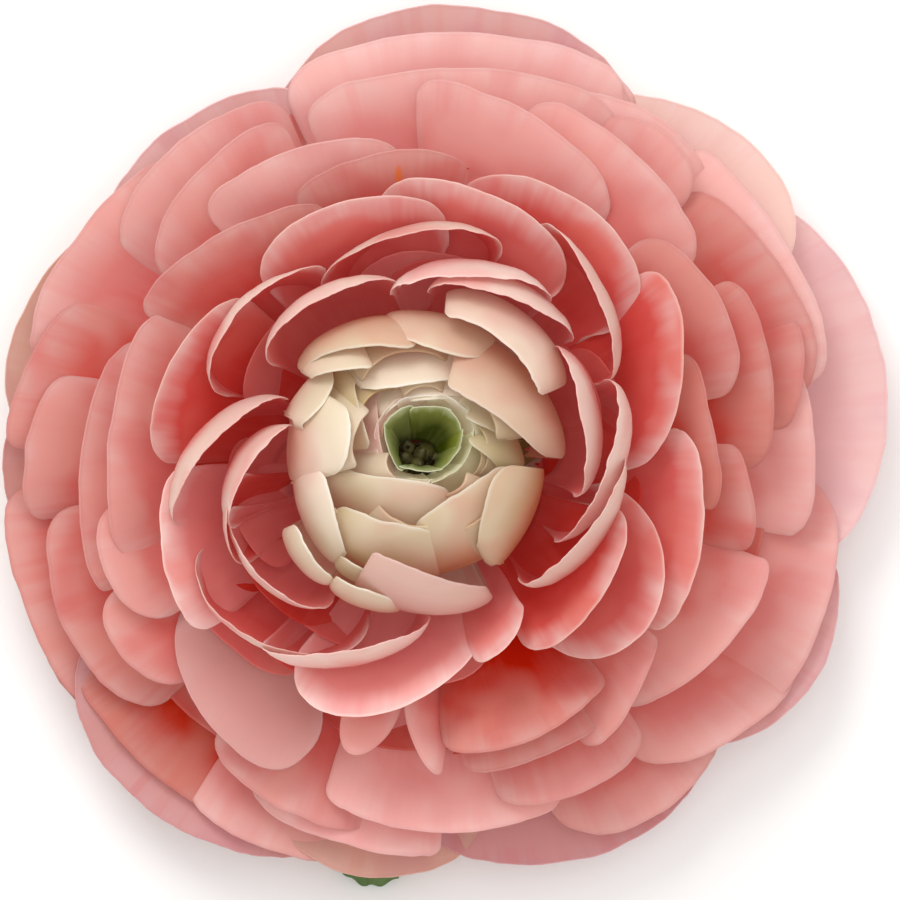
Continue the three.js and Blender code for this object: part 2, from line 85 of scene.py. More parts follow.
# Driving dimensions, as in the frame
DOME_TOP = 40 * MM              # height of the dome that the open petals' tips stand on
DOME_FALL = 0.0155 / MM         # the dome falls by this times the radius squared
GUARD_TIP_HEIGHT = 8 * MM
BUD_CENTRE_HEIGHT = 26 * MM     # closed petals lie on nested spheres round this height
UPRIGHT_LEAN = 117              # lean of a rim from the level at the axis, degrees
LEAN_PER_METRE = 2100           # and how much of it is lost per metre of radius
LEAST_FOLD = 0.4 * MM           # a smaller bulge counts as an open petal
LEAST_BULGE = 0.3               # of a closed petal beyond its tip, millimetres
DEEPEST_ROOT = 0.72             # a closed petal starts at this share of its arc
ROOT_PER_BULGE = 35             # less this for every metre that it bulges to
FURTHEST_END = 0.93             # a closed petal's rim ends within this share of its bulge
CLEAR_OF_GROUND = 0.2 * MM
EYE_RIM_HEIGHT = 33 * MM
EYE_LEAN = 66                   # of the rims that line the eye, degrees
EYE_SHIFT = Vector((-1.2, -1.1, 0)) * MM   # the eye's bottom lies a little off the axis
GOLDEN_ANGLE = math.pi * (3 - math.sqrt(5))
TOOTH_LENGTH = 1.2 * MM         # the small teeth along a rim are as long as this
ROLL_WIDTH = 4 * MM             # a rim rolls outwards over this distance
CORNER_POWER = 6.0              # the higher, the closer to its ends a blade is cut round
CROWDING = 1.5                  # the higher, the finer a blade is towards its rim
THIN_FROM = 0.6                 # a blade thins from this share of its length
THIN_TO = 0.35                  # to this share of its thickness at its rim
WAVE_POWER = 1.5                # the higher, the closer to its rim a blade is waved
WELD_DISTANCE = 0.001 * MM

# Finish of the petals
VEIN_SPACING = 0.8 * MM
VEIN_LENGTHS = 1.5              # how often a vein changes from root to rim
FADE_STRAY = 0.45 * MM          # how far the fade from a rim strays along the veins
EDGE_LINE = (0.1 * MM, 0.45 * MM)   # the pale line along a rim, partly its own colour and partly a painted highlight, fades out between these
PATCH_WIDTH = 7 * MM
BUMP_DEPTH = 0.1 * MM
STAIN_PLACE = Vector((-2.6, 27.6, 0)) * MM   # pollen has marked a petal here, from the axis
STAIN_SIZE = Vector((0.45, 1.2, 50)) * MM

# Green parts, in millimetres and degrees
SEPAL_REACH = 10.5
SEPAL_AZIMUTHS = (8, 82, 150, 218, 300)
LEAF_REACH = 44
LEAF_AZIMUTH = 262.5
GREEN_THICKNESS = 0.5
HAIR_WIDTH = 0.035 * MM
HAIR_DENSITY = 1.2 / MM / MM
HAIRY_HEIGHTS = (1.6 * MM, 4.5 * MM)
BLUSH_HEIGHTS = (4.6 * MM, 6.0 * MM)   # the receptacle takes the petals' colour above these

# Turned bodies: radius and height of each ring, in millimetres
STEM_PROFILE = (
    (0, 1.15), (1.2, 1.1), (1.9, 0.95), (2.2, 0.9), (2.4, 1.05), (2.42, 1.6), (2.5, 2.4),
    (3.0, 2.9), (3.7, 3.3), (4.5, 3.8), (5.0, 4.6), (5.1, 6), (5.0, 9), (4.9, 11.6),
    (4.4, 12.2), (0, 12.3),
)
HEART_PROFILE = (
    (0, 12.6), (3.2, 12.6), (3.3, 13.0), (3.1, 13.5), (2.2, 14.3), (1.7, 16), (1.5, 20),
    (1.3, 24), (1.2, 26), (1.0, 27.2), (0.6, 27.9), (0, 28.2),
)

# Stage
PHOTO_CENTRE = Vector((2.5, 0.3, 0)) * MM   # the middle of the picture from the bloom's axis
VIEW_WIDTH = 90 * MM
CAMERA_HEIGHT = 2.0
FOCUS_HEIGHT = 10 * MM
SENSOR = 36.0
FARTHEST_SEEN = 10.0
FLOOR_REACH = 3.0
CLOUD_WIDTH = 60 * MM           # of the paper's faint cloudiness
SKY_STRENGTH = 0.84
LIGHT_BOUNCES = 4
NOISE_THRESHOLD = 0.03


def table(columns, rows):
    """Named rows of a table, each with its columns named."""
    return {name: dict(zip(columns, values)) for name, values in rows.items()}


# Each row is one petal's rim, read from above: left end x, y; tip x, y; right end x, y; how far
# the blade bulges out beyond its tip; how far the tip stands above its dome; and its tone, from
# -1 for a deep one to 1 for a pale one, which is partly the petal's own colour and partly painted
# shade that darkens petals lying in shadow. A last number marks a petal that blushes pink, up to
# 1, or that turns pale green or cream, down to -1. Noughts at a row's end are left out.

# Cream petals, closed over the heart
BUD_ROWS = [
    [1.7, 12.5, 7.5, 10.2, 10.3, 5, 4.4, 0, 0.2, 0.3],
    [2, 6.3, 6.5, 3.3, 12, -0.5, 6.2, 0, -0.2, 0.3], [7.5, -1, 5.1, -6.2, 8.7, -11.9, 5.1, 0, -0.3],
    [-3.3, 12.8, 0, 9.8, 5.7, 9.1, 4.3, 0, 0.2], [-12.4, 8.2, -7.6, 9.7, -0.7, 9.4, 3.2, 0, -0.6],
    [-13.6, 4.6, -10.5, 3.3, -8.5, 7.5, 3.4, 0, 0.6], [-5.8, 6.7, -1.5, 6, 5.3, 8.5, 5.2, 0, 0.4],
    [-8.2, 4.8, -6.8, 0.8, -9.5, -1.9, 6.9, 0, 0.8],
    [-9.8, -1.5, -8.2, -6.2, -8.7, -10.7, 3.9, 0, 0.9],
    [-12.5, -6.7, -10.7, -9.7, -10.3, -14.1, 2.5, 0, 0.6],
    [-8.5, -10.7, -6.3, -10.6, -4, -12.4, 2.3], [-10, -14.4, -6, -12.6, -2.3, -14.7, 2.7],
    [-4.8, -8.9, 0.5, -11.4, 6, -12.7, 4.7, 0, 0, 0.8], [-8, -5, -3, -6.2, 0.9, -7.4, 6, 0, 0.1],
    [-0.7, -6.5, 3, -3.5, 7.5, -1.3, 7.4, 0, -0.1], [-8, -2.4, -3, -1.9, 2, -3.4, 7.4, 0, 0.3],
    [-4.4, 6, -3.9, 2.2, -3.2, -1.8, 4.6, 0, 0.2, 0.7],
    [-7.6, 7.4, -5.8, 4.4, -5, 0.2, 4.4, 0, -0.4], [-11.4, 7.7, -8.4, 7.6, -4.6, 8, 3.6, 0, -0.1],
    [3.9, 3.4, 5.4, 2.2, 8.6, 1.4, 4.4, 0, 0.1, -0.2],
    [4.2, 1.4, 5.2, -0.2, 8, -1.4, 4.6, 0, -0.2, -0.3], [-2, 5.4, 1, 5, 4, 5.6, 4.4, 0, 0.7],
]

# Pale green petals that line the eye
EYE_ROWS = [
    [-3.9, 3, -2.4, 4.2, -0.6, 4.9, 4, 0, 0.4, -0.1],
    [-1.4, 4.6, 1.2, 4.7, 3.8, 4.5, 4.4, 0, 0.6, -0.1],
    [2.6, 4.6, 4.1, 3, 4.2, 0.6, 4, 0, 0.4, -0.4],
    [4.2, 1.6, 3, -0.9, 0.6, -2.2, 4.6, 0, 0.5, -0.6],
    [2.4, -1.9, -0.6, -2, -3.2, -1.2, 4.6, 0, 0.5, -0.6],
    [-2.9, -2, -4, 0.8, -3.8, 3.4, 4.4, 0, 0.4, 0.3],
]

# Green petals inside those, whose inner faces make the walls of the eye
LINER_ROWS = [
    [-3.9, 2.9, -2.7, 4.3, -1, 4.6, 0, 0.3, 0.2], [-1.6, 4.4, 0.6, 4.8, 2.8, 4.3, 0, 0.5],
    [2.2, 4.6, 3.4, 3.4, 4, 1.8, 0, 0.2, -0.2], [3.9, 2.5, 3.8, 1.2, 3.2, -0.1, 0, 0.4, -0.2],
    [3.7, 0.9, 2.8, -0.7, 1.5, -1.9, 0, 0, 0.3], [2, -1.6, -0.5, -1.9, -2.8, -1.3, 0, -0.3, 0.6],
    [-2.2, -1.8, -3.7, 0.5, -3.9, 3.3, 0, 0.1, 0.2],
]

# Cream petals round the green ones, thin and uneven
COLLAR_ROWS = [
    [-4.9, 1.4, -3.9, 4.4, -1.7, 5.4, 0, 0.2, 0.8, 0.4],
    [-2.8, 5, -0.6, 5.9, 1.7, 5.3, 0, 0.3, 1, 0.1],
    [0.3, 5.5, 2.9, 5.5, 4.5, 3.6, 0, 0.4, 0.9, -0.1],
    [3.5, 4.9, 4.9, 2.9, 4.6, 0.8, 0, 0, 0.6, -0.3],
    [4.8, 2.2, 4.3, -0.5, 2.5, -2.2, 0, -0.1, 0.6, -0.7],
    [3.7, -1.1, 1.5, -2.9, -0.9, -2.9, 0, -0.3, 1, -0.7],
    [0.7, -2.8, -2.1, -3, -3.9, -1.5, 0, -0.4, 1, -0.3],
    [-3, -2.4, -4.8, -0.2, -4.7, 2.3, 0, -0.1, 0.6, 0.3],
]

# Upright coral petals round the bud, with their rims curled in
CRESCENT_ROWS = [
    [-3.4, 15.3, 4.7, 17.2, 12.8, 15, 2.1, 0, 0.7], [0, 15.7, 7.8, 15.3, 14.8, 11, 2.2, 0.4, 0.4],
    [12.6, 10.6, 15.4, 3, 14.5, -4.4, 2.2, 0.6, 0.5],
    [17.8, 7.5, 17.9, -0.7, 12.5, -8.9, 2.2, 0, 0.6],
    [19.8, -0.2, 15.1, -8.5, 9, -12.4, 2.2, 0.6, 0.4],
    [-2.2, 16.6, -11, 14.6, -15.3, 8.5, 1.4, 0, 0.6],
    [7.8, 19.6, -0.5, 21.7, -10.7, 16.5, 1.1, 0, 0.3],
    [-9.8, 18.5, -18.9, 12.8, -20, 5.5, 1.1, 0, 0.1], [11.5, 23.3, 17.5, 13.8, 17.2, 6.8, 1.6],
    [-12.8, 5.2, -21.2, 0.3, -24.4, -7.6, 2.6, 1.8, 0.2],
    [-12.6, 2.9, -17.3, -1.7, -18.9, -7.6, 2.4, 1.2, 0.6],
    [-23.5, -1.2, -25.8, -9.5, -21.5, -17.8, 0, 1.4, 0.9],
    [-17.8, -2, -19.6, -7, -17.6, -11.2, 0.5, 0.8, 0.2],
    [-19.3, -5.2, -15.9, -12.4, -9, -15.1, 0.8, -0.5, 0.3],
    [-22.7, -9.5, -16.3, -18.5, -5.5, -17.5, 0.7, 0, 0.2],
    [-16.3, -18.9, -7.9, -19.3, 0.7, -16, 2.2, 0.4, 0.6],
]

# Deep coral shells round them, opening outwards
SHELL_ROWS = [
    [22, 18.3, 25.3, 8.3, 20.3, -1.4, 0, 0, -0.2], [4, 26.8, 17.5, 23.1, 19, 12.8, 0, 0, 0.1],
    [-4.5, 25.6, 7.5, 24.9, 13.5, 16.8], [2.2, 22.8, -8.5, 24.5, -16.3, 17],
    [18.8, -5.5, 17.5, -13.7, 10, -19.4, 0, 1], [20, -4.2, 22.5, -16.2, 12, -18.7],
    [24.2, 2.3, 27.4, -6.7, 23, -18], [-13, -21.7, -3.5, -25.3, 5.8, -16.5, 0, 0, 0.8],
    [4.5, -20.2, 8, -18.7, 9.2, -14.4, 0, -2, 0.5],
    [-17.5, 15.3, -25.5, 7.8, -25.3, -1.2, 0, 0, -0.3],
]

# Salmon petals, wide open
OPEN_ROWS = [
    [4.5, 27.1, -4, 29.6, -13, 24.8], [22, 21.8, 29.7, 13.8, 28.7, 5.3],
    [-10, 24.8, -21.5, 20.6, -27.5, 13.3], [-26, 14.3, -31.3, -0.2, -27.5, -10.7],
    [29, 17.2, 34.3, 9.2, 32.6, -2.1, 0, 0, -0.4], [25.5, 10.3, 28.6, 0.3, 27.5, -5.7, 0, -1, -0.6],
    [30, 1.3, 32.6, -4.7, 31, -10.2, 0, -1, -0.5], [32.5, -9.9, 31.1, -17.5, 20, -25.9],
    [1.5, -29.2, 12.5, -27.2, 17.5, -21.5, 0, 0, -0.5],
    [3.2, -30.8, 11.5, -30.1, 18.3, -25.3, 0, -1, -0.3], [22.8, -17.7, 20.7, -24.2, 15, -29.2],
    [-25.2, -17.2, -17.5, -30.4, -11, -24.7, 0, 0, 0.3, -1],
    [27.1, 18.7, 20.1, 30.3, 9.6, 33.9, 0, 1, 0.5],
    [18.8, 24.5, 7.9, 34.8, -1.3, 34.1, 0, 1, 0.4, 0.2],
    [35.5, 1.9, 37.9, 8.7, 35.7, 14.3, 0, -1.2, -0.6],
    [38.1, 5.4, 34.7, 19.9, 24.8, 25.3, 0, -1, -0.5],
    [26.4, 25.1, 23.7, 32.1, 16.3, 32.5, 0, -1, 0.5], [-2.1, 30, -15, 29.2, -20.9, 22.3, 0, 0, 0.3],
    [-13.2, 32.3, -22.8, 27.8, -26.1, 17.4, 0, 0, 0.3],
    [-30.1, -4.7, -31.5, -12.2, -24.7, -16.2, 0, 1],
    [-29.9, -12.8, -30.2, -19.8, -23.2, -22.8, 0, 1], [-30.5, 11.4, -34.3, -6, -29.9, -12.8, 0, -1],
    [-10.3, -33.2, 1.8, -37.8, 14.2, -33.9, 0, 0, 0.8, 0.2], [6.4, -33.4, 15, -33.9, 22, -27.5],
    [10, 35.5, 23, 33.5, 28, 24.5, 0, -2.8, 0.8], [-12, 33, 3, 38.5, 20, 32.5, 0, -1, 0.8],
    [20, -29.5, 30, -29, 37.5, -20.5, 0, -1, 0.3],
    [-7.8, -25.5, -6.6, -29.7, -2.3, -25.2, 0, 0, 0.1],
    [-1.9, -25, 0.8, -31, 2.3, -29.2, 0, 0, 0.1],
]

# Pale petals under them
PALE_ROWS = [
    [39.9, 7, 35, 22.5, 25.6, 30, 0, -1, 1], [-13.4, 34.4, -25, 30.5, -30, 19.2, 0, -2, 0.6],
    [-35.1, 8.3, -39.9, 0.1, -37.3, -7.2, 0, -1],
    [-36.1, -5.1, -35.4, -18.2, -25.4, -24.9, 0, -1, -0.2],
    [-21, -27.5, -13.9, -35.6, -4.5, -35.5, 0, -1], [12.2, -36, 23.9, -36, 28.7, -25.3, 0, -1],
    [28.8, -28.2, 40, -15.9, 37.4, -1.8, 0, -1, 0.4], [-14, 34.5, 2, 42, 22, 35, 0, -1, 0.6],
    [-41, 0, -39.8, 8.5, -33, 16, 0, -1, -0.1], [-18, -34, -6, -39.6, 1.5, -38.5, 0, -1, 0.5],
    [-34.5, -19.5, -27.8, -31.5, -14, -37, 0, -2, -0.9],
    [-24, -33, -16.5, -39.3, -7.5, -40, 0, -1, 0.4], [-41.2, -3, -39.2, -17, -32, -26, 0, -1, -0.6],
    [-38.5, 9, -35.5, 20.5, -24, 30, 0, -2], [36, 9, 38.8, 0, 36.5, -9, 0, -2.4, 0.3],
]

# Guard petals: azimuths of the left end, the tip and the right end in degrees, radii of the
# ends and the tip, how far the petal lies above the lowest ones, its tone, partly its own colour
# and partly painted shade that darkens the petals at the bottom left, and its mark
GUARD_ROWS = [
    [-20, 12, 42, 38, 47.0, 0, 1, 0.35], [26, 43, 66, 38, 45.2, 1.4, 1, -0.2],
    [52, 83, 117, 36, 45.2, 0, 0.2, 0.2], [103, 128, 148, 35, 41.6, 1.4, 0.6, 0.3],
    [134, 162, 180, 36, 42.9, 0, -0.5, -0.5], [166, 184, 203, 36, 42.4, 1.4, -1, 0.2],
    [190, 211, 223, 37, 43.3, 0, -1, 0.4], [208, 233, 260, 38, 45.3, 3.4, -1, 0.5],
    [246, 262, 281, 36, 43.0, 2.3, -0.8, -0.4], [267, 296, 323, 36, 44.0, 0, -0.6, 0.7],
    [309, 331, 352, 37, 45.2, 1.4, 0, 0.5],
]

# The noughts that the rows leave out
for rows in (BUD_ROWS, EYE_ROWS, LINER_ROWS, COLLAR_ROWS, CRESCENT_ROWS, SHELL_ROWS, OPEN_ROWS,
             PALE_ROWS):
    for row in rows:
        row.extend([0] * (10 - len(row)))

# Lengths and shares that each set of petals has. The lengths are where it springs from, how its
# rims fall towards their ends, how far a blade puffs out, its rim rolls out and its teeth are
# cut, in millimetres. The shares are of a blade's arc that its corners are cut by, of its width
# that it wraps and tapers by at its ends and narrows by towards its root, of its arc at which
# it starts, and of the setting that is its thickness.
SET_LENGTHS = ("Root Radius", "Root Height", "End Drop", "Skew", "Puff", "Roll", "Teeth")
SET_SHARES = ("Corner", "Wrap", "Taper", "Narrow")
SETS = table((*SET_LENGTHS, *SET_SHARES, "start", "thickness"), {
    "bud": (5, 13.6, 1, 0.5, 0.9, -0.25, 1.6, 0.1, 0, 0, 0, 0.12, 1.5),
    "inner": (7, 9.8, 5, 1, 0, 0.5, 2.2, 0.1, 0.22, 0.4, 0.2, 0.3, 1),
    "outer": (7.5, 8.2, 4, 1, 0, 0.6, 2, 0.14, 0.25, 0, 0.35, 0.3, 1),
    "guard": (8, 6.5, 2, 1, 0, 0, 1.6, 0.05, 0.1, 0, 0.2, 0.2, 1.1),
    "eye": (2.3, 24, 0.3, 0.3, 0, 0, 1, 0, 0, 0, 0, 0.1, 0.7),
})

# How the hidden petals lie behind the measured ones: turned by so many degrees, further out or
# in, and by a share of the bulge too, lower, with so much less bulge, and all within so far from
# the axis, in millimetres
HIDDEN = table(("turns", "outward", "fold_share", "lower", "less_fold", "within"), {
    "bud": ((-24, 24), -0.3, 0, 0, 0.6, 13),
    "inner": ((9, 16), -0.2, 1, 11, 9, 99),
    "outer": ((7, 13), -1, 1, 12, 9, 99),
})
LOWEST_HIDDEN_RIM = 8           # millimetres
HIDDEN_HALF_SPREAD = (20, 30)   # from a hidden petal's tip to its end, degrees
HIDDEN_END_SHARE = 0.9          # its ends lie at this share of its tip's radius

# A ring of low petals under them all, in millimetres
LOW_PETALS = 9
LOW_REACH = 24
LOW_HEIGHT = 11.5

# What each kind of petal shows besides its body colour. The pale rim is partly the petal's own
# colour and partly a painted highlight, the root colours partly painted shade, and the edge line
# partly a painted highlight. The last three may be missing.
PALETTE_PARTS = ("root", "rim", "back_root", "back", "edge", "vein", "patch", "back_patch",
                 "tinge", "blush", "green", "stain")
PALETTES = {
    "cream": ("#dd8f6c", "#ecdcc4", "#df9d7e", "#ecd8bc", "#f2e8d6", "#e2c6a6", "#e6b89e",
              "#e8bfa6", "#ddcb9e", "#deaaa6", "#cfd39c"),
    "liner": ("#5d6620", "#dde0b0", "#b0b850", "#d5d8a0", "#eceed0", "#b4ba66", "#a8b04e",
              "#d8dcb0", "#b0b456"),
    "coral": ("#e2463d", "#f5cdc9", "#f0796a", "#f0d6c6", "#f5cdc2", "#ee746c", "#ee786c",
              "#f0cec2", "#ea6864"),
    "salmon": ("#e34b42", "#eec0b9", "#ee857a", "#efc4ba", "#e2a09a", "#ec958c", "#f0aea4",
               "#eebeb6", "#e67f7b", "#e9968e", "#d9aaa5", "#ee8a2c"),
    "pale": ("#e9857a", "#edccc7", "#e8a298", "#ebc8c2", "#e4b2ad", "#e8a8a0", "#eec4ba",
             "#e9cdbe", "#dfa6ae", "#dba9b0", "#ecd3ba"),
}

# How each finish of petal uses its palette: how many millimetres from the rim the body colour
# and the root colour, which is partly painted shade, are reached, how strong its veins are, how
# much light comes through, its painted glow, an emission of its own colour that lifts its shade,
# and how strong the pale line along its rim is, partly a painted highlight, nought on hidden petals
FINISHES = table(("palette", "fades", "veins", "through", "glow", "edge"), {
    "fresh_cream_petal": ("cream", (3, 11), 0.3, 0.25, 0.12, 0.7),
    "shaded_cream_petal": ("cream", (3, 14), 0.3, 0.25, 0.08, 0),
    "fresh_green_petal": ("liner", (1.5, 5), 0.3, 0.3, 0.08, 0.7),
    "fresh_coral_petal": ("coral", (4.4, 10.5), 0.16, 0.4, 0.13, 0.6),
    "shaded_coral_petal": ("coral", (5, 12), 0.3, 0.4, 0.13, 0),
    "fresh_salmon_petal": ("salmon", (5.6, 13), 0.22, 0.4, 0.15, 0.55),
    "shaded_salmon_petal": ("salmon", (8, 22), 0.3, 0.4, 0.15, 0),
    "fresh_pale_petal": ("pale", (9, 24), 0.2, 0.4, 0.2, 0.55),
})

# Small repeats of the heart: width, length and beak of one, how many there are, the lengths of
# their dome, lean of the outermost in radians, two colours and the width of their patches
BEAD_LENGTHS = ("Least Radius", "Radius", "Top", "Fall", "Scatter")
BEADS = {
    "carpels": ((1.7, 1.9, 0.4), 9, (0, 1.3, 27.6, 1.6, 0.1), 0.9, ("#3a3516", "#5c5325"), 0.8),
    "anthers": ((0.55, 1.3, 0), 26, (1.35, 1.9, 27.4, 0.5, 0.9), 0.35, ("#1d130a", "#3a2c15"),
                0.7),
    "filaments": ((0.22, 14, 0), 26, (1.35, 1.9, 13.6, 0.5, 0.9), 0, ("#8a8f4a", "#a5a861"), 0.7),
}


def linear(hex_colour):
    """An sRGB hex colour as linear red, green, blue and alpha."""
    channels = []
    for place in (1, 3, 5):
        value = int(hex_colour[place:place + 2], 16) / 255
        channels.append(value / 12.92 if value <= 0.04045 else ((value + 0.055) / 1.055) ** 2.4)
    return (*channels, 1.0)


def add_node(tree, kind, feeds=(), operation=None, **settings):
    """Adds a node with its settings, and links or sets its open inputs, in order or by name."""
    node = tree.nodes.new(kind)
    if operation:
        settings["operation"] = OPERATIONS.get(operation, operation)
    for setting, value in settings.items():
        setattr(node, setting, value)
    sockets = [socket for socket in node.inputs if socket.enabled]
    pairs = feeds.items() if isinstance(feeds, dict) else enumerate(feeds)
    for key, value in pairs:
        if isinstance(key, int):
            socket = sockets[key]
        else:
            socket = next(socket for socket in sockets if socket.name == key)
        for source in value if isinstance(value, list) else [value]:
            if isinstance(source, bpy.types.Node):
                source = next(output for output in source.outputs if output.enabled)
            if isinstance(source, bpy.types.NodeSocket):
                tree.links.new(source, socket)
            else:
                socket.default_value = source
    return node


def new_tree(name, inputs):
    """A Geometry Nodes tree with named inputs, what adds a node to it, and its input sockets."""
    tree = bpy.data.node_groups.new(name, "GeometryNodeTree")
    for label, kind in inputs.items():
        tree.interface.new_socket(name=label, in_out="INPUT", socket_type="NodeSocket" + kind)
    tree.interface.new_socket(name="Geometry", in_out="OUTPUT", socket_type="NodeSocketGeometry")
    node = partial(add_node, tree)
    return tree, node, node("NodeGroupInput").outputs


def ended(tree, node, shape, material):
    """A tree whose shape comes out as plain geometry with its material."""
    whole = node("GeometryNodeRealizeInstances", (shape,))
    clothed = node("GeometryNodeSetMaterial", {"Geometry": whole, "Material": material})
    node("NodeGroupOutput", (clothed,))
    return tree


def piece_from(name, mesh):
    """A new object of the scene at the origin."""
    piece = bpy.data.objects.new(name, mesh)
    bpy.context.scene.collection.objects.link(piece)
    return piece


def made_plain(piece):
    """Keeps what a piece's modifiers make as its plain mesh."""
    evaluated = piece.evaluated_get(bpy.context.evaluated_depsgraph_get())
    mesh = bpy.data.meshes.new_from_object(evaluated)
    piece.modifiers.clear()
    piece.data = mesh
    return piece


def grown(piece, tree, values):
    """Runs a tree on a piece with the given inputs."""
    modifier = piece.modifiers.new(tree.name, "NODES")
    modifier.node_group = tree
    for item in tree.interface.items_tree:
        if item.in_out == "INPUT" and item.name in values:
            modifier[item.identifier] = values[item.name]
    return made_plain(piece)


def seated(piece, slot, *nodes):
    """Attaches a piece to the bloom and hides the parts of the frame that it stands for. Its slot
    is not used.
    """
    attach(piece, "root")
    if nodes:
        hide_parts(*nodes)


# Petals

WAVES = ("Frill", "Frill Length", "Swell", "Swell Length")
PETAL_NUMBERS = (*SET_LENGTHS, *SET_SHARES, *WAVES, "Teeth Length", "Roll Width", "Thickness",
                 "Lowest")
PETAL_INPUTS = {"Geometry": "Geometry", "Axis": "Vector", "Columns": "Int", "Rows": "Int",
                **dict.fromkeys(PETAL_NUMBERS, "Float"), "Material": "Material"}
RIM_VECTORS = ("left", "tip", "right")
RIM_SHAPE = ("turn", "start", "base", "bulge", "hand", "ragged")
RIM_NUMBERS = (*RIM_SHAPE, "seed", "tone", "mark")


def petal_tree():
    """One blade for each point. Its rim is half an ellipse through two ends and a tip, and every
    line from its root to its rim is an arc that stands upright over a line from the axis."""
    tree, node, inlet = new_tree("petals_from_rims", PETAL_INPUTS)

    # A sheet for each point, with its own places kept: across from -1 to 1, along from 0 to 1
    grid = node("GeometryNodeMeshGrid", (2.0, 1.0, inlet["Columns"], inlet["Rows"]))
    copies = node(COPIES, {"Points": inlet["Geometry"], "Instance": grid})
    sheets = node("GeometryNodeRealizeInstances", (copies,))
    flat = node(SPLIT, (node(VECTOR, (node(POSITION), (0, 0.5, 0)), "+"),)).outputs
    crowded = node(MATH, (node(MATH, (1.0, flat["Y"]), "-"), CROWDING), "POWER")
    sheet_place = node(JOIN, (flat["X"], node(MATH, (1.0, crowded), "-")))
    kept = node(STORE, {"Geometry": sheets, "Name": "sheet", "Value": sheet_place},
                data_type="FLOAT_VECTOR")

    # What the points carry
    carried = {name: node(NAMED, (name,), data_type="FLOAT_VECTOR")
               for name in (*RIM_VECTORS, "sheet")}
    carried.update({name: node(NAMED, (name,)) for name in RIM_NUMBERS})
    sheet = node(SPLIT, (carried["sheet"],)).outputs
    along = sheet["Y"]
    across = node(MATH, (sheet["X"], carried["hand"]), "*")

    # The rim, read from above
    smoothness = node(MATH, (1.0, carried["ragged"]), "-")
    wrapped = node(MATH, (across, node(MATH, (smoothness, inlet["Wrap"], 1.0), "*+")), "*")
    quarter = node(MATH, (wrapped, math.pi / 2), "*")
    side, front = [node(MATH, (quarter,), part) for part in ("SINE", "COSINE")]
    both = node(VECTOR, (carried["left"], carried["right"]), "+")
    middle = node(VECTOR, (both, (0.5, 0.5, 0.5)), "*")
    half, depth = [node(VECTOR, (carried[place], middle), "-") for place in ("right", "tip")]
    sideways = node(VECTOR, (half, side, middle), "*+")
    smooth_rim = node(VECTOR, (depth, front, sideways), "*+")

    # What runs unevenly along it: its frill, the swells of the blade and its teeth
    walk = node(MATH, (across, node(VECTOR, (half,), "LENGTH")), "*")
    uneven = {}
    for name, others, detail, roughness in (("Frill", (carried["seed"],), 3.0, 0.55),
                                            ("Swell", (along, carried["seed"]), 1.0, 0.5),
                                            ("Teeth", (carried["seed"],), 2.0, 0.5)):
        step = node(MATH, (walk, inlet[name + " Length"]), "/")
        uneven[name] = node(NOISE, {"Vector": node(JOIN, (step, *others)), "Scale": 1.0,
                                    "Detail": detail, "Roughness": roughness})
    frill, swell = [node(MATH, (node(MATH, (uneven[name], 0.5), "-"), inlet[name]), "*")
                    for name in ("Frill", "Swell")]
    outward = node(VECTOR, (smooth_rim,), "NORMALIZE")
    rim = node(VECTOR, (outward, frill, smooth_rim), "*+")
    reach = node(VECTOR, (rim,), "LENGTH")

    # Height of the rim
    squares = [node(MATH, (each, 2.0), "POWER") for each in (carried["bulge"], reach)]
    inside = node(MATH, (node(MATH, squares, "-"), 0.0), "MAXIMUM")
    top = node(MATH, (carried["base"], node(MATH, (inside,), "SQRT")), "+")
    end_square = node(MATH, (wrapped, wrapped), "*")
    dropped = node(MATH, (end_square, inlet["End Drop"]), "*")
    skewed = node(MATH, (side, inlet["Skew"], dropped), "*+")

    # The arc from root to rim
    run = node(MATH, (reach, inlet["Root Radius"]), "-")
    rise = node(MATH, (node(MATH, (top, skewed), "-"), inlet["Root Height"]), "-")
    end_share = node(MATH, (end_square, carried["ragged"]), "*")
    less = node(MATH, (end_share, inlet["Taper"]), "*")
    turn = node(MATH, (carried["turn"], node(MATH, (1.0, less), "-")), "*")
    half_turn = node(MATH, (turn, 0.5), "*")
    first = node(MATH, (node(MATH, (rise, run), "ARCTAN2"), half_turn), "-")
    half_chord = node(MATH, (node(VECTOR, (node(JOIN, (run, rise)),), "LENGTH"), 0.5), "*")
    arc = node(MATH, (half_chord, node(MATH, (half_turn,), "SINE")), "/")
    arc_length = node(MATH, (arc, turn), "*")

    # The blade ends earlier at its corners, and unevenly where it is ragged
    corner = node(MATH, (node(MATH, (sheet["X"],), "ABSOLUTE"), CORNER_POWER), "POWER")
    cut_corner = node(MATH, (corner, inlet["Corner"]), "*")
    tooth_share = node(MATH, (node(MATH, (inlet["Teeth"], carried["ragged"]), "*"),
                              arc_length), "/")
    cut = node(MATH, (uneven["Teeth"], tooth_share, cut_corner), "*+")
    along_blade = node(MATH, (along, node(MATH, (1.0, cut), "-")), "*")
    share = node(RANGE, (along_blade, 0.0, 1.0, carried["start"], 1.0))
    angle = node(MATH, (turn, share, first), "*+")
    sines = [node(MATH, (each,), "SINE") for each in (angle, first)]
    cosines = [node(MATH, (each,), "COSINE") for each in (first, angle)]
    radius = node(MATH, (arc, node(MATH, sines, "-"), inlet["Root Radius"]), "*+")
    height = node(MATH, (arc, node(MATH, cosines, "-"), inlet["Root Height"]), "*+")

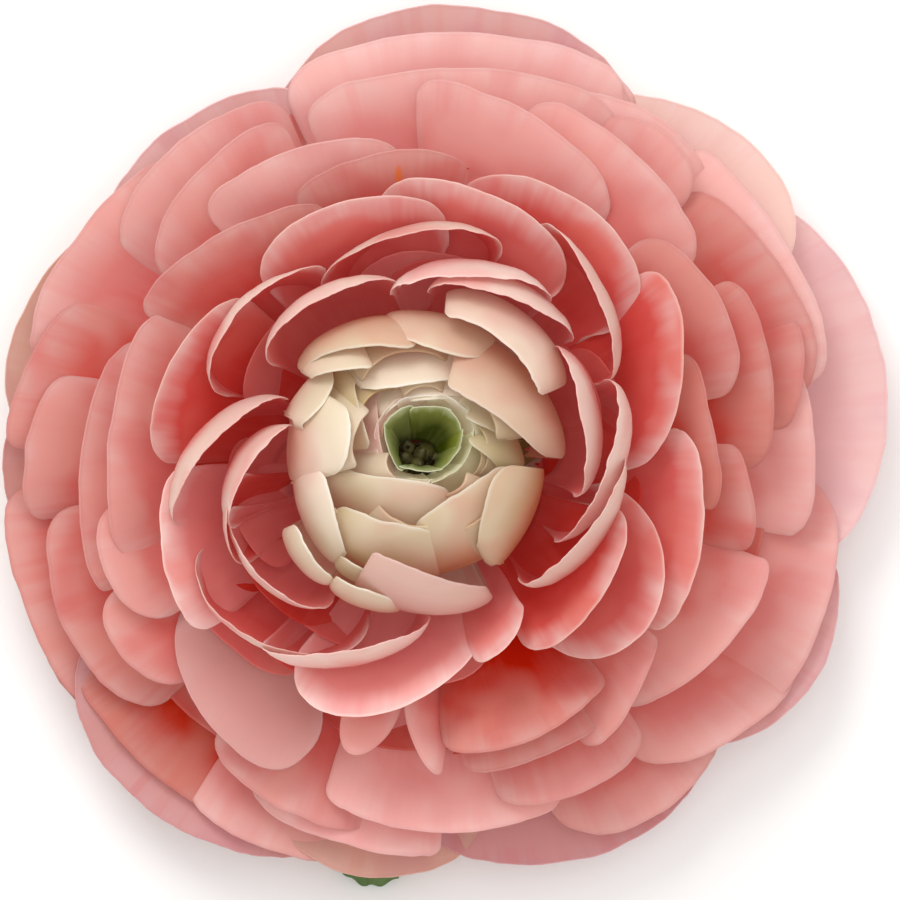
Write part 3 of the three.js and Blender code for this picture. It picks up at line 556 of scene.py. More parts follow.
    # It narrows towards its root
    directions = [node(VECTOR, (each,), "NORMALIZE") for each in (rim, carried["tip"])]
    narrowed = node(MATH, (node(MATH, (1.0, share), "-"), inlet["Narrow"]), "*")
    widened = node(MATH, (1.0, narrowed), "-")
    turned_in = node(VECTOR, (node(VECTOR, directions, "-"), widened, directions[1]), "*+")
    direction = node(VECTOR, (turned_in,), "NORMALIZE")
    level = node(VECTOR, (direction, radius, inlet["Axis"]), "*+")
    place = node(VECTOR, (level, node(JOIN, (0, 0, height))), "+")
    bent = node(SET_PLACE, {"Geometry": kept, "Position": place})

    # Every petal is also puffed out by itself, most in its middle, and swells towards its rim
    swelling = node(MATH, (swell, node(MATH, (along, WAVE_POWER), "POWER")), "*")
    rounded = node(MATH, (swelling, node(MATH, (front, inlet["Puff"]), "*")), "-")

    # The rim rolls outwards a little, unless it is a ragged one that curls in
    blade_length = node(MATH, (arc_length, node(MATH, (1.0, carried["start"]), "-")), "*")
    from_rim = node(MATH, (blade_length, node(MATH, (1.0, along), "-")), "*")
    near_rim = node(RANGE, (from_rim, 0.0, inlet["Roll Width"], 1.0, 0.0))
    even_roll = node(MATH, (inlet["Roll"], smoothness), "*")
    roll = node(MATH, (node(MATH, (near_rim, 2.0), "POWER"), even_roll), "*")
    rolled = node(MATH, (rounded, roll), "-")
    offset = node(VECTOR, {"Vector": node("GeometryNodeInputNormal"), "Scale": rolled}, "SCALE")
    swollen = node(SET_PLACE, {"Geometry": bent, "Offset": offset})

    # Nothing reaches below the surface that the bloom lies on
    now = node(SPLIT, (node(POSITION),)).outputs
    lifted = node(MATH, (now["Z"], inlet["Lowest"]), "MAXIMUM")
    clear_place = node(JOIN, (now["X"], now["Y"], lifted))
    blade = node(SET_PLACE, {"Geometry": swollen, "Position": clear_place})
    for name, value in (("from_rim", from_rim), ("walk", walk)):
        blade = node(STORE, {"Geometry": blade, "Name": name, "Value": value})

    # It thins out to its rim, and its back is marked
    taper = node(RANGE, (along, THIN_FROM, 1.0, 1.0, THIN_TO))
    thickness = node(MATH, (inlet["Thickness"], taper), "*")
    marked_front, marked_back = [
        node(STORE, {"Geometry": blade, "Name": "back", "Value": value}, domain="FACE")
        for value in (0.0, 1.0)]
    thick = node("GeometryNodeExtrudeMesh", {"Mesh": marked_front, "Offset Scale": thickness,
                                             "Individual": False}, mode="FACES")
    turned = node("GeometryNodeFlipFaces", (marked_back,))
    joined = node("GeometryNodeJoinGeometry", ([thick, turned],))
    closed = node("GeometryNodeMergeByDistance", {"Geometry": joined, "Distance": WELD_DISTANCE})
    smooth = node("GeometryNodeSetShadeSmooth", {"Geometry": closed})
    return ended(tree, node, smooth, inlet["Material"])


def turn_for_bulge(run, rise, root_radius, bulge):
    """Turn of the arc from root to rim that makes it bulge out to the given radius."""
    chord = math.hypot(run, rise)
    slope = math.atan2(rise, run)
    low, high = 0.1, math.pi * 1.7
    for _ in range(40):
        turn = (low + high) / 2
        radius = chord / (2 * math.sin(turn / 2))
        widest = root_radius + radius * (1 - math.sin(slope - turn / 2))
        if widest > bulge:
            high = turn
        else:
            low = turn
    return (low + high) / 2


def rim_from(row, petal_set):
    """What every row gives. Its tone is varied a little by its place."""
    ends = {name: Vector((*row[2 * i:2 * i + 2], 0)) * MM for i, name in enumerate(RIM_VECTORS)}
    tone = row[8] + 0.25 * math.sin(7 * row[2] + 3 * row[3])
    return {**ends, "tone": tone, "mark": row[9], "bulge": 0.0, "start": petal_set["start"]}


def closed_rim(row, petal_set):
    """A petal that lies on a sphere over the heart."""
    rim = rim_from(row, petal_set)
    reach = rim["tip"].length
    bulge = reach + max(row[6] - petal_set["Puff"], LEAST_BULGE) * MM
    root = petal_set["Root Radius"] * MM
    height = BUD_CENTRE_HEIGHT + math.sqrt(bulge * bulge - reach * reach)
    rise = height - petal_set["Root Height"] * MM
    for end in ("left", "right"):
        rim[end] *= min(1, FURTHEST_END * bulge / rim[end].length)
    return {**rim, "base": BUD_CENTRE_HEIGHT, "bulge": bulge, "ragged": 0.5,
            "turn": turn_for_bulge(reach - root, rise, root, bulge),
            "start": max(petal_set["start"], DEEPEST_ROOT - ROOT_PER_BULGE * bulge)}


def open_rim(row, petal_set):
    """A petal whose tip stands on the dome."""
    rim = rim_from(row, petal_set)
    reach = rim["tip"].length
    fold = row[6] * MM
    root = petal_set["Root Radius"] * MM
    base = DOME_TOP - DOME_FALL * reach * reach + row[7] * MM
    run = reach - root
    rise = base - petal_set["Root Height"] * MM
    if fold > LEAST_FOLD:
        return {**rim, "base": base, "ragged": 1.0,
                "turn": turn_for_bulge(run, rise, root, reach + fold)}
    lean = math.radians(UPRIGHT_LEAN - LEAN_PER_METRE * reach)
    return {**rim, "base": base, "ragged": 0.2, "turn": 2 * (lean - math.atan2(rise, run))}


def eye_rim(row, petal_set):
    """A petal that lines the eye, its inner face leaning back from the heart."""
    rim = rim_from(row, petal_set)
    for place in RIM_VECTORS:
        rim[place] = rim[place] - EYE_SHIFT
    base = EYE_RIM_HEIGHT + row[7] * MM
    slope = math.atan2(base - petal_set["Root Height"] * MM,
                       rim["tip"].length - petal_set["Root Radius"] * MM)
    return {**rim, "base": base, "ragged": 0.6, "turn": 2 * (math.radians(EYE_LEAN) - slope)}


def polar(azimuth, radius):
    """A place at so many degrees and so far from the middle."""
    angle = math.radians(azimuth)
    return Vector((radius * math.cos(angle), radius * math.sin(angle), 0))


def guard_rim(row, petal_set):
    """A petal that sags from its root to the surface and rises again to its rim."""
    left_azimuth, tip_azimuth, right_azimuth, end_radius, reach, lift, tone, mark = row
    tip_height = GUARD_TIP_HEIGHT + 0.6 * lift * MM
    root_height = petal_set["Root Height"] * MM
    lowest = lift * MM + CLEAR_OF_GROUND
    sag = (root_height + tip_height) / 2 - lowest
    chord = math.hypot((reach - petal_set["Root Radius"]) * MM, tip_height - root_height)
    return {"left": polar(left_azimuth, end_radius) * MM, "tip": polar(tip_azimuth, reach) * MM,
            "right": polar(right_azimuth, end_radius) * MM, "tone": tone, "mark": mark,
            "ragged": 0.3, "base": tip_height, "bulge": 0.0, "start": petal_set["start"],
            "turn": 4 * math.atan(2 * sag / chord)}


RIM_MAKERS = {"bud": closed_rim, "inner": open_rim, "outer": open_rim, "guard": guard_rim,
              "eye": eye_rim}


def row_round(tip, half, fold, lift, tone):
    """A row for a petal that spreads as far to both sides of its tip."""
    ends = [Matrix.Rotation(turn, 2) @ tip * HIDDEN_END_SHARE for turn in (half, -half)]
    return [*ends[0], *tip, *ends[1], fold, lift, tone, 0]


def rows_behind(rows, way, seed):
    """A hidden petal behind each measured one, as full as the rest of a double bloom is."""
    draw = random.Random(seed)
    hidden = []
    for row in rows:
        turn = Matrix.Rotation(math.radians(draw.uniform(*way["turns"])), 2)
        reach = math.hypot(row[2], row[3])
        if reach > way["within"] - 2:
            continue
        grow = (reach + way["fold_share"] * row[6] + way["outward"]) / reach
        tip = turn @ Vector(row[2:4]) * grow
        half = math.radians(draw.uniform(*HIDDEN_HALF_SPREAD))
        dome = DOME_TOP / MM - DOME_FALL * MM * (reach * grow) ** 2
        lift = max(row[7] - way["lower"], LOWEST_HIDDEN_RIM - dome)
        fold = min(max(row[6] - way["less_fold"], 0), way["within"] - reach)
        # Hidden petals are toned 0.4 deeper than the ones in front of them: painted shade, as they
        # lie in the gaps
        hidden.append(row_round(tip, half, fold, lift, row[8] - 0.4))
    return hidden


def rows_below():
    """A ring of low petals that closes the view to the sepals."""
    lift = LOW_HEIGHT - DOME_TOP / MM + DOME_FALL * MM * LOW_REACH ** 2
    return [row_round(polar(360 * i / LOW_PETALS, LOW_REACH).xy, math.pi / 6, 0, lift - i % 2, 0.2)
            for i in range(LOW_PETALS)]


def rim_points(name, rims, seed):
    """A mesh of one point for each petal, which carries what its blade grows from. Ends are
    taken clockwise, so that a blade's inner face is its front."""
    draw = random.Random(seed)
    mesh = bpy.data.meshes.new(name)
    mesh.from_pydata([(0, 0, 0)] * len(rims), [], [])
    for rim in rims:
        left, right = rim["left"], rim["right"]
        rim["hand"] = -1.0 if left.x * right.y - left.y * right.x > 0 else 1.0
        rim["seed"] = draw.uniform(3, 97)
    for key in RIM_VECTORS:
        values = [number for rim in rims for number in rim[key]]
        mesh.attributes.new(key, "FLOAT_VECTOR", "POINT").data.foreach_set("vector", values)
    for key in RIM_NUMBERS:
        values = [rim[key] for rim in rims]
        mesh.attributes.new(key, "FLOAT", "POINT").data.foreach_set("value", values)
    return mesh


def grow_petals(name, kind, rows, fineness, waves, finish, seed, slot, *nodes):
    """A piece of petals of one kind of set: fineness is columns, rows; waves are frill, its
    length, swell, its length, in millimetres."""
    petal_set = SETS[kind]
    tree = bpy.data.node_groups.get("petals_from_rims") or petal_tree()
    rims = [RIM_MAKERS[kind](row, petal_set) for row in rows]
    sizes = bpy.context.scene.bloom_sizes
    thickness = petal_set["thickness"] * sizes.petal_thickness
    values = {key: petal_set[key] for key in SET_SHARES}
    values.update({key: petal_set[key] * MM for key in SET_LENGTHS})
    values.update({key: wave * MM for key, wave in zip(WAVES, waves)})
    values["Frill"] *= sizes.frill
    values["Swell"] *= sizes.swell
    piece = grown(piece_from(name, rim_points(name, rims, seed)), tree, {
        **values, "Axis": AXIS + EYE_SHIFT if kind == "eye" else AXIS, "Columns": fineness[0],
        "Rows": fineness[1], "Teeth Length": TOOTH_LENGTH, "Roll Width": ROLL_WIDTH,
        "Thickness": thickness, "Lowest": CLEAR_OF_GROUND + thickness,
        "Material": bpy.data.materials.get(finish) or petal_material(finish)})
    for key in (*RIM_VECTORS, *RIM_SHAPE):
        piece.data.attributes.remove(piece.data.attributes[key])
    seated(piece, slot, *nodes)


# Heart, stem and leaves

def finished_mesh(name, mesh):
    """Turns a bmesh into a smooth shaded mesh."""
    data = bpy.data.meshes.new(name)
    mesh.to_mesh(data)
    mesh.free()
    data.polygons.foreach_set("use_smooth", [True] * len(data.polygons))
    return data


def lathe(name, profile, sides, skin):
    """A closed body turned round the bloom's axis, from radius and height in millimetres."""
    mesh = bmesh.new()
    rings = []
    for radius, height in profile:
        ring = []
        for i in range(sides if radius else 1):
            place = polar(360 * i / sides, radius) + Vector((0, 0, height))
            ring.append(mesh.verts.new(place * MM + AXIS))
        rings.append(ring)
    for low, high in zip(rings, rings[1:]):
        for i in range(sides):
            j = (i + 1) % sides
            corners = [low[i % len(low)], low[j % len(low)], high[j % len(high)],
                       high[i % len(high)]]
            mesh.faces.new(list(dict.fromkeys(corners)))
    bmesh.ops.recalc_face_normals(mesh, faces=mesh.faces)
    piece = piece_from(name, finished_mesh(name, mesh))
    piece.data.materials.append(skin)
    return piece


def blades(name, surfaces, columns, rows, skin):
    """Closed blades of even thickness, one for each surface given as a point for u from -1 to 1
    and v from 0 to 1, in millimetres from the bloom's axis."""
    mesh = bmesh.new()
    for surface in surfaces:
        grid = [[mesh.verts.new(surface(2 * i / columns - 1, j / rows) * MM + AXIS)
                 for i in range(columns + 1)] for j in range(rows + 1)]
        for low, high in zip(grid, grid[1:]):
            for i in range(columns):
                mesh.faces.new((low[i], low[i + 1], high[i + 1], high[i]))
    bmesh.ops.recalc_face_normals(mesh, faces=mesh.faces)
    piece = piece_from(name, finished_mesh(name, mesh))
    wall = piece.modifiers.new("thickness", "SOLIDIFY")
    wall.thickness = GREEN_THICKNESS * MM
    wall.offset = 0
    made_plain(piece).data.materials.append(skin)
    return piece


def bead_mesh(name, width, length, beak):
    """A small egg with its foot at the origin and a beak on its top, for carpels and anthers."""
    mesh = bmesh.new()
    bmesh.ops.create_uvsphere(mesh, u_segments=8, v_segments=7, radius=0.5)
    for vertex in mesh.verts:
        share = vertex.co.z + 0.5
        narrow = 1 - 0.55 * share * share
        vertex.co = Vector((vertex.co.x * width * narrow + beak * max(0, share - 0.75),
                            vertex.co.y * width * narrow, share * length)) * MM
    return finished_mesh(name, mesh)


def bead_tree():
    """Beads in a golden angle spiral over a dome, upright in its middle and leaning out."""
    tree, node, inlet = new_tree("beads_in_a_spiral", {
        "Geometry": "Geometry", "Bead": "Object", "Count": "Int", "Centre": "Vector",
        **dict.fromkeys((*BEAD_LENGTHS, "Lean"), "Float"), "Material": "Material"})
    points = node("GeometryNodePoints", (inlet["Count"],))
    index = node("GeometryNodeInputIndex")
    share = node(MATH, (node(MATH, (index, 0.5), "+"), inlet["Count"]), "/")
    root = node(MATH, (share,), "SQRT")
    radius = node(RANGE, (root, 0.0, 1.0, inlet["Least Radius"], inlet["Radius"]))
    angle = node(MATH, (index, GOLDEN_ANGLE), "*")
    east, north = [node(MATH, (radius, node(MATH, (angle,), part)), "*")
                   for part in ("COSINE", "SINE")]
    drop = node(MATH, (share, inlet["Fall"]), "*")
    lowest = node(MATH, (inlet["Scatter"], -1.0), "*")
    chance = node(RANDOM, {"Min": lowest, "Max": 0.0, "Seed": 5})
    height = node(MATH, (node(MATH, (inlet["Top"], drop), "-"), chance), "+")
    place = node(VECTOR, (node(JOIN, (east, north, height)), inlet["Centre"]), "+")
    set_out = node(SET_PLACE, {"Geometry": points, "Position": place})
    turn = node(JOIN, (0.0, node(MATH, (root, inlet["Lean"]), "*"), angle))
    bead = node("GeometryNodeObjectInfo", {"Object": inlet["Bead"]}).outputs["Geometry"]
    copies = node(COPIES, {"Points": set_out, "Instance": bead, "Rotation": turn})
    return ended(tree, node, copies, inlet["Material"])


def grow_beads(name, bead, count, lengths, lean, colours, grain):
    """A piece of small repeats round the heart's middle. The loose bead is then removed."""
    tree = bpy.data.node_groups.get("beads_in_a_spiral") or bead_tree()
    single = name[:-1]
    source = piece_from(single, bead_mesh(single, *bead))
    piece = grown(piece_from(name, bpy.data.meshes.new(name)), tree, {
        **{key: length * MM for key, length in zip(BEAD_LENGTHS, lengths)}, "Count": count,
        "Lean": lean, "Bead": source, "Centre": AXIS + EYE_SHIFT,
        "Material": green_material(single + "_skin", colours, grain)})
    bpy.data.objects.remove(source)
    seated(piece, "olive_heart")


def hair_tree():
    """Short soft hairs that stand on a green skin."""
    tree, node, inlet = new_tree("hairs_on_skin", {
        "Geometry": "Geometry", **dict.fromkeys(("Density", "Length", "Width"), "Float"),
        "Material": "Material"})
    spots = node("GeometryNodeDistributePointsOnFaces",
                 {"Mesh": inlet["Geometry"], "Density": inlet["Density"], "Seed": 3}).outputs
    cone = node("GeometryNodeMeshCone", {"Vertices": 3, "Radius Top": 0.0,
                                         "Radius Bottom": inlet["Width"],
                                         "Depth": inlet["Length"]}).outputs["Mesh"]
    tilt = node(RANDOM, {"Min": (-0.5, -0.5, -0.5), "Max": (0.5, 0.5, 0.5), "Seed": 8},
                data_type="FLOAT_VECTOR")
    turned = node("FunctionNodeRotateEuler", {"Rotation": spots["Rotation"], "Rotate By": tilt})
    copies = node(COPIES, {"Points": spots["Points"], "Instance": cone, "Rotation": turned})
    return ended(tree, node, copies, inlet["Material"])


def sepal_surface(azimuth):
    """A sepal that droops from the stem, widest in its middle and pointed."""
    turn = Matrix.Rotation(math.radians(azimuth), 3, "Z")

    def point(u, v):
        radius = 3 + SEPAL_REACH * v
        width = 3.3 * math.sin(math.pi * (0.22 + 0.76 * v))
        height = 3.1 - 2.2 * v ** 0.8 - 0.35 * u * u + 0.12 * math.cos(5 * u) * v
        return turn @ Vector((radius, u * width, height))
    return point


def leaf_surface(u, v):
    """A leaf on its stalk, with a lobed end."""
    turn = Matrix.Rotation(math.radians(LEAF_AZIMUTH), 3, "Z")
    lobes = 1.2 * u * u + 0.3 * math.sin(1.5 * math.pi * u + 1) ** 2
    radius = 1.5 + (LEAF_REACH - 1.5 - lobes) * v
    width = 1.1 + 2.6 * max(0, v - 0.35) ** 0.8
    height = 1.35 - 0.35 * v + 0.2 * u * u - 0.25 * math.exp(-(u / 0.12) ** 2) * v
    return turn @ Vector((radius, u * width, height))


# Materials

def new_material(name):
    """An empty material, what adds a node to it, and the places on its object."""
    material = bpy.data.materials.new(name)
    material.use_nodes = True
    material.node_tree.nodes.clear()
    node = partial(add_node, material.node_tree)
    return material, node, node("ShaderNodeTexCoord").outputs["Object"]


def layered(node, colour, *layers):
    """Colours laid over one another, each by its share."""
    for share, upper in layers:
        colour = node("ShaderNodeMix", (share, colour, upper), data_type="RGBA")
    return colour


def petal_material(name):
    """Fresh petal: thin living skin of domed cells, which scatters light softly and lets light
    through it. A painted glow, an emission of its own colour, lifts its shade, and it fades from
    a pale rim, partly a painted highlight, to a deep root, partly painted shade."""
    finish = FINISHES[name]
    body = getattr(bpy.context.scene.bloom_colours, finish["palette"])
    palette = PALETTES[finish["palette"]]
    colours = {part: linear(colour) for part, colour in zip(PALETTE_PARTS, palette)}
    material, node, object_place = new_material(name)
    sheet = node(ATTRIBUTE, attribute_name="sheet").outputs["Vector"]
    walk, seed, tone, mark, back, depth = [
        node(ATTRIBUTE, attribute_name=key).outputs["Fac"]
        for key in ("walk", "seed", "tone", "mark", "back", "from_rim")]

    # Veins run from root to rim, and the fade follows them unevenly
    vein_across = node(MATH, (walk, VEIN_SPACING), "/")
    vein_along = node(MATH, (node(SPLIT, (sheet,)).outputs["Y"], VEIN_LENGTHS), "*")
    vein_place = node(JOIN, (vein_across, vein_along, seed))
    vein_noise = node(NOISE, {"Vector": vein_place, "Scale": 1.0, "Detail": 2.0})
    uneven = node(RANGE, (vein_noise, 0.3, 0.7, -FADE_STRAY, FADE_STRAY))
    reached = node(MATH, (depth, uneven), "+")
    streaked = node(RANGE, (mark, 0.0, 1.0, finish["veins"], 1.0))
    vein_share = node(RANGE, (vein_noise, 0.45, 0.65, 0.0, streaked))

    # A pale band along the rim, then the body colour, then a deep root. The band is partly the
    # petal's own colour and partly a painted highlight; the root is partly its own colour and
    # partly painted shade where the blade runs down under its neighbours
    to_body, to_root = [fade * MM for fade in finish["fades"]]
    fading = node(RANGE, (reached, 0.0, to_body, 0.0, 1.0))
    deepening = node(RANGE, (reached, 0.6 * to_body, to_root, 0.0, 1.0),
                     interpolation_type="SMOOTHSTEP")

    # Soft patches on both faces
    patch_noise = node(NOISE, {"Vector": object_place, "Scale": 1 / PATCH_WIDTH, "Detail": 1.0})
    patchy = node(RANGE, (patch_noise, 0.5, 0.66, 0.0, 0.75))
    less_patchy = node(RANGE, (deepening, 0.0, 1.0, 1.0, 0.25))
    patch_share = node(MATH, (patchy, less_patchy), "*")
    tinge_share = node(RANGE, (patch_noise, 0.3, 0.46, 0.45, 0.0))
    # A thin pale line along the rim, partly its own colour and partly a painted highlight. Hidden
    # petals, whose finish has no such line, lose the pale rim band too: painted shade.
    edge_share = node(RANGE, (depth, *EDGE_LINE, finish["edge"], 0.0))
    inner = layered(node, colours["rim"] if finish["edge"] else body, (fading, body),
                    (deepening, colours["root"]), (vein_share, colours["vein"]),
                    (patch_share, colours["patch"]))
    outer = layered(node, colours["back"], (deepening, colours["back_root"]),
                    (patch_share, colours["back_patch"]))
    both = layered(node, inner, (back, outer), (tinge_share, colours["tinge"]),
                   (edge_share, colours["edge"]))

    # Each petal's tone, partly its own colour and partly painted shade that darkens petals lying in
    # shadow, and its mark
    paler = node(RANGE, (tone, -1.0, 1.0, 1.3, 0.64))
    lighter = node(RANGE, (tone, -1.0, 1.0, 0.78, 1.08))
    coloured = node("ShaderNodeHueSaturation",
                    {"Saturation": paler, "Value": lighter, "Color": both})
    if "blush" in colours:
        greening = node(RANGE, (mark, -1.0, 0.0, 0.75, 0.0))
        blushing = node(RANGE, (mark, 0.0, 1.0, 0.0, 0.75))
        coloured = layered(node, coloured, (greening, colours["green"]),
                           (blushing, colours["blush"]))
    if "stain" in colours:
        off_stain = node(VECTOR, (object_place, AXIS + STAIN_PLACE), "-")
        scaled = node(VECTOR, (off_stain, STAIN_SIZE), "/")
        away = node(VECTOR, (scaled,), "LENGTH").outputs["Value"]
        stain = node(RANGE, (away, 0.6, 1.1, 0.8, 0.0))
        coloured = layered(node, coloured, (stain, colours["stain"]))

    bump = node(BUMP, {"Strength": 0.15, "Distance": BUMP_DEPTH, "Height": vein_noise})
    # The emission is a painted glow in the petal's own colour, which lifts its shade
    skin = node(SKIN, {"Base Color": coloured, "Roughness": 0.6, "Normal": bump,
                       "Specular IOR Level": 0.25, "Emission Color": coloured,
                       "Emission Strength": finish["glow"]})
    lit_through = node("ShaderNodeBsdfTranslucent", {"Color": coloured})
    surface = node("ShaderNodeMixShader", (finish["through"], skin, lit_through))
    node(SURFACE, {"Surface": surface})
    return material


def green_material(name, colours, grain, blush=None):
    """Living skin of stem, leaf or heart: matt and finely grained, with lighter patches, which
    are so many millimetres wide. A blush is the colour where petals grow from it."""
    material, node, object_place = new_material(name)
    patches = node(NOISE, {"Vector": object_place, "Scale": 1 / (grain * MM), "Detail": 3.0})
    share = node(RANGE, (patches, 0.35, 0.65, 0.0, 1.0))
    colour = layered(node, linear(colours[0]), (share, linear(colours[1])))
    if blush:
        height = node(SPLIT, (object_place,)).outputs["Z"]
        high = node(RANGE, (height, *BLUSH_HEIGHTS, 0.0, 1.0))
        colour = layered(node, colour, (high, linear(blush)))
    fine = node(NOISE, {"Vector": object_place, "Scale": 3 / MM, "Detail": 2.0})
    bump = node(BUMP, {"Strength": 0.3, "Distance": BUMP_DEPTH, "Height": fine})
    skin = node(SKIN, {"Base Color": colour, "Roughness": 0.6, "Normal": bump})
    node(SURFACE, {"Surface": skin})
    return material


def paper_material():
    """Pale matt studio paper, pressed smooth, with a cloudiness that is hardly seen."""
    material, node, object_place = new_material("pale_studio_paper")
    clouds = node(NOISE, {"Vector": object_place, "Scale": 1 / CLOUD_WIDTH})
    colour = layered(node, linear("#f3f2f0"), (clouds, linear("#f5f4f2")))
    skin = node(SKIN, {"Base Color": colour, "Roughness": 0.9})
    node(SURFACE, {"Surface": skin})
    return material


# Settings that a user would change

class BloomSizes(bpy.types.PropertyGroup):
    petal_thickness: bpy.props.FloatProperty(
        name="Petal thickness", description="Thickness of a petal below its thin rim",
        default=0.28 * MM, min=0.05 * MM, unit="LENGTH", precision=5)
    frill: bpy.props.FloatProperty(
        name="Frill", description="How unevenly the petals' rims run, 0 for smooth ones",
        default=1.0, min=0.0)
    swell: bpy.props.FloatProperty(
        name="Swell", description="How much the blades are waved, 0 for even ones",
        default=1.0, min=0.0)
    hair_length: bpy.props.FloatProperty(
        name="Hair length", description="Length of the hairs on the stem and the sepals",
        default=0.8 * MM, min=0.1 * MM, unit="LENGTH", precision=5)


def body_colour(label, default):
    """A colour setting, given as sRGB hex."""
    return bpy.props.FloatVectorProperty(
        name=label, description="Body colour of the " + label.lower(), subtype="COLOR", size=4,
        min=0.0, max=1.0, default=linear(default))


class BloomColours(bpy.types.PropertyGroup):
    cream: body_colour("Cream bud petals", "#e0bd98")
    liner: body_colour("Green eye petals", "#98a04c")
    coral: body_colour("Coral inner petals", "#e9615a")
    salmon: body_colour("Salmon outer petals", "#e9877f")
    pale: body_colour("Pale guard petals", "#e8a29a")


# Operators

class BLOOM_OT_bud_petals(bpy.types.Operator):
    """Cream petals closed over the heart, and the green ones that line the eye"""
    bl_idname = "bloom.bud_petals"
    bl_label = "Bud petals"

    def execute(self, context):
        hidden = rows_behind(BUD_ROWS, HIDDEN["bud"], 21)
        grow_petals("cream_petals", "bud", [*BUD_ROWS, *EYE_ROWS], (45, 31), (0.5, 2.5, 0.5, 5),
                    "fresh_cream_petal", 11, "cream_petal", "bud_petals")
        grow_petals("cream_petals_behind", "bud", hidden, (25, 17), (0.5, 2.5, 0.5, 5),
                    "shaded_cream_petal", 16, "cream_petal")
        grow_petals("eye_liners", "eye", LINER_ROWS, (25, 17), (0.7, 1.8, 0.6, 3),
                    "fresh_green_petal", 15, "cream_petal")
        grow_petals("eye_collar", "eye", COLLAR_ROWS, (25, 17), (0.8, 1.8, 0.8, 3),
                    "fresh_cream_petal", 19, "cream_petal")
        return {"FINISHED"}


class BLOOM_OT_inner_petals(bpy.types.Operator):
    """Upright coral petals and the shells round them"""
    bl_idname = "bloom.inner_petals"
    bl_label = "Inner petals"

    def execute(self, context):
        shown = [*CRESCENT_ROWS, *SHELL_ROWS]
        hidden = rows_behind(shown, HIDDEN["inner"], 22)
        grow_petals("coral_petals", "inner", shown, (69, 27), (0.7, 3.5, 0.8, 8),
                    "fresh_coral_petal", 12, "coral_petal", "inner_petals")
        grow_petals("coral_petals_behind", "inner", hidden, (25, 17), (0.7, 3.5, 0.8, 8),
                    "shaded_coral_petal", 17, "coral_petal")
        return {"FINISHED"}


class BLOOM_OT_outer_petals(bpy.types.Operator):
    """Wide open salmon petals and the pale ones under them"""
    bl_idname = "bloom.outer_petals"
    bl_label = "Outer petals"

    def execute(self, context):
        hidden = [*rows_behind(OPEN_ROWS, HIDDEN["outer"], 23), *rows_below()]
        grow_petals("salmon_petals", "outer", [*OPEN_ROWS, *PALE_ROWS], (45, 25),
                    (1.6, 7, 2.0, 9), "fresh_salmon_petal", 13, "salmon_petal", "outer_petals")
        grow_petals("salmon_petals_behind", "outer", hidden, (25, 17), (1.0, 6, 1.2, 9),
                    "shaded_salmon_petal", 18, "salmon_petal")
        return {"FINISHED"}


class BLOOM_OT_guard_petals(bpy.types.Operator):
    """Pale outermost petals that make the outline"""
    bl_idname = "bloom.guard_petals"
    bl_label = "Guard petals"

    def execute(self, context):
        grow_petals("guard_petals_fine", "guard", GUARD_ROWS, (81, 41), (1.2, 7, 2.0, 8),
                    "fresh_pale_petal", 14, "pale_petal", "guard_petals")
        return {"FINISHED"}


class BLOOM_OT_heart(bpy.types.Operator):
    """Carpels on their cone, with stamens round them"""
    bl_idname = "bloom.heart"
    bl_label = "Heart"

    def execute(self, context):
        skin = green_material("heart_skin", ("#3b3512", "#5c5420"), 1.5)
        seated(lathe("heart_cone", HEART_PROFILE, 32, skin), "olive_heart", "heart")
        for name, values in BEADS.items():
            grow_beads(name, *values)
        return {"FINISHED"}


class BLOOM_OT_green_parts(bpy.types.Operator):
    """Cut stem, sepals and leaf, with fine hairs"""
    bl_idname = "bloom.green_parts"
    bl_label = "Stem and leaves"

    def execute(self, context):
        stem = lathe("cut_stem", STEM_PROFILE, 48,
                     green_material("fresh_stem", ("#8a9a52", "#a3ae6a"), 2.5, blush="#b5554a"))
        seated(stem, "green_stem", "leafy_stem")
        sepals = blades("sepals", [sepal_surface(azimuth) for azimuth in SEPAL_AZIMUTHS], 14, 20,
                        green_material("fresh_sepal", ("#7f8f45", "#a9b46c"), 3))
        seated(sepals, "green_stem")
        leaf = blades("leaf", [leaf_surface], 30, 44,
                      green_material("fresh_leaf", ("#4c6a34", "#6b8444"), 2.5))
        seated(leaf, "green_stem")
        hairy = bmesh.new()
        hairy.from_mesh(stem.data)
        hairy.from_mesh(sepals.data)
        bare = [face for face in hairy.faces
                if not HAIRY_HEIGHTS[0] < face.calc_center_median().z < HAIRY_HEIGHTS[1]]
        bmesh.ops.delete(hairy, geom=bare, context="FACES")
        skin = bpy.data.meshes.new("hairy_skin")
        hairy.to_mesh(skin)
        hairy.free()
        hairs = grown(piece_from("fine_hairs", skin), hair_tree(), {
            "Density": HAIR_DENSITY, "Length": context.scene.bloom_sizes.hair_length,
            "Width": HAIR_WIDTH,
            "Material": green_material("plant_hair", ("#c9cfa6", "#dfe3c8"), 2)})
        seated(hairs, "green_stem")
        return {"FINISHED"}


def add_light(name, place, size, watts):
    """A round soft light that faces the bloom, its size in metres."""
    data = bpy.data.lights.new(name, "AREA")
    data.shape = "DISK"
    data.size = size
    data.energy = watts
    light = piece_from(name, data)
    light.location = place
    light.rotation_euler = (Vector(place) * -1).to_track_quat("-Z", "Y").to_euler()


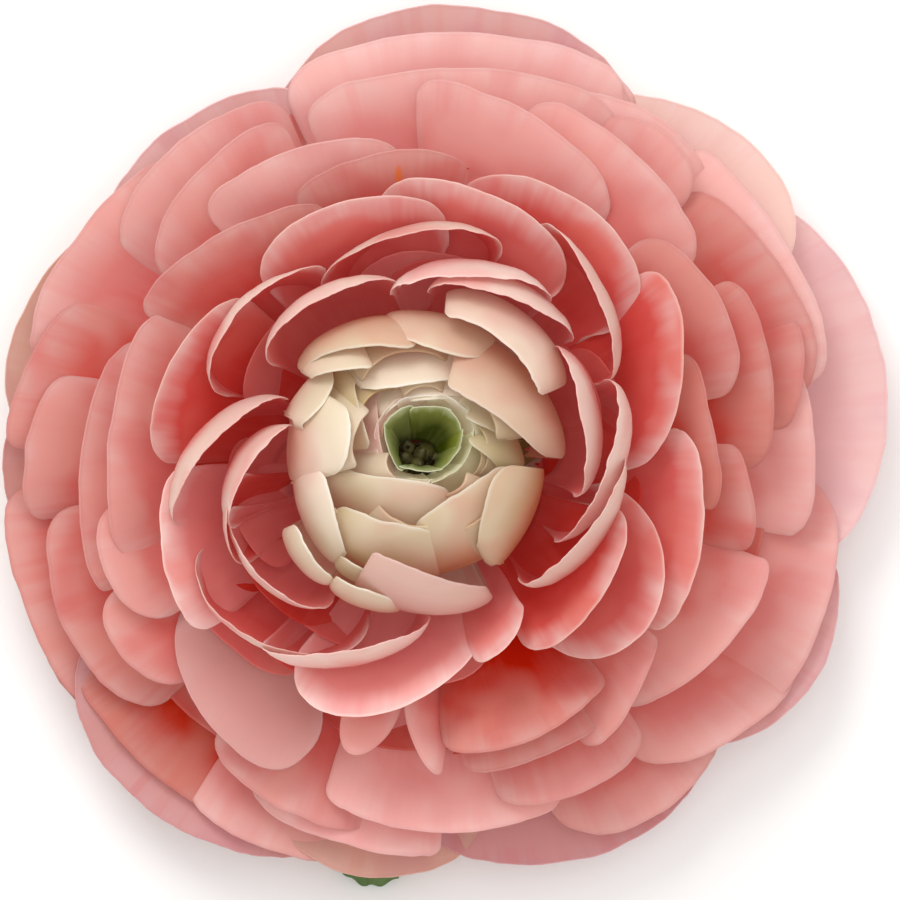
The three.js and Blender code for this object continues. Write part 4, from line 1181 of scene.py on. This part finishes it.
class BLOOM_OT_stage(bpy.types.Operator):
    """Pale floor, soft lights and the camera straight above"""
    bl_idname = "bloom.stage"
    bl_label = "Stage"

    def execute(self, context):
        floor_mesh = bpy.data.meshes.new("floor")
        signs = ((-1, -1), (1, -1), (1, 1), (-1, 1))
        corners = [(x * FLOOR_REACH, y * FLOOR_REACH, 0) for x, y in signs]
        floor_mesh.from_pydata(corners, [], [(0, 1, 2, 3)])
        floor = piece_from("floor", floor_mesh)
        floor.data.materials.append(paper_material())

        scene = context.scene
        scene.world = bpy.data.worlds.new("studio")
        scene.world.use_nodes = True
        sky = scene.world.node_tree.nodes["Background"].inputs
        sky["Color"].default_value = linear("#ffffff")
        sky["Strength"].default_value = SKY_STRENGTH
        add_light("key", (-0.25, 0.6, 0.8), 0.5, 4.0)
        add_light("overhead", (0.1, 0.1, 1.2), 0.8, 3.0)

        lens = bpy.data.cameras.new("camera")
        lens.sensor_width = SENSOR
        lens.lens = SENSOR * (CAMERA_HEIGHT - FOCUS_HEIGHT) / VIEW_WIDTH
        lens.clip_end = FARTHEST_SEEN
        scene.camera = piece_from("camera", lens)
        scene.camera.location = AXIS + PHOTO_CENTRE + Vector((0, 0, CAMERA_HEIGHT))
        scene.view_settings.view_transform = "Standard"
        scene.cycles.max_bounces = LIGHT_BOUNCES
        scene.cycles.adaptive_threshold = NOISE_THRESHOLD
        return {"FINISHED"}


class BLOOM_PT_sidebar(bpy.types.Panel):
    """Grows each part of the bloom, with the sizes and colours that it uses"""
    bl_idname = "BLOOM_PT_sidebar"
    bl_label = "Ranunculus bloom"
    bl_space_type = "VIEW_3D"
    bl_region_type = "UI"
    bl_category = "Bloom"

    def draw(self, context):
        for operator in OPERATORS:
            self.layout.operator(operator.bl_idname)
        for settings in (context.scene.bloom_sizes, context.scene.bloom_colours):
            for key in settings.__annotations__:
                self.layout.prop(settings, key)


OPERATORS = (BLOOM_OT_bud_petals, BLOOM_OT_inner_petals, BLOOM_OT_outer_petals,
             BLOOM_OT_guard_petals, BLOOM_OT_heart, BLOOM_OT_green_parts, BLOOM_OT_stage)
CLASSES = (BloomSizes, BloomColours, *OPERATORS, BLOOM_PT_sidebar)


def register():
    for each in CLASSES:
        bpy.utils.register_class(each)
    bpy.types.Scene.bloom_sizes = bpy.props.PointerProperty(type=BloomSizes)
    bpy.types.Scene.bloom_colours = bpy.props.PointerProperty(type=BloomColours)


def unregister():
    del bpy.types.Scene.bloom_colours
    del bpy.types.Scene.bloom_sizes
    for each in reversed(CLASSES):
        bpy.utils.unregister_class(each)


def main():
    register()
    bpy.ops.bloom.bud_petals()
    bpy.ops.bloom.inner_petals()
    bpy.ops.bloom.outer_petals()
    bpy.ops.bloom.guard_petals()
    bpy.ops.bloom.heart()
    bpy.ops.bloom.green_parts()
    bpy.ops.bloom.stage()


if __name__ == "__main__":
    main()
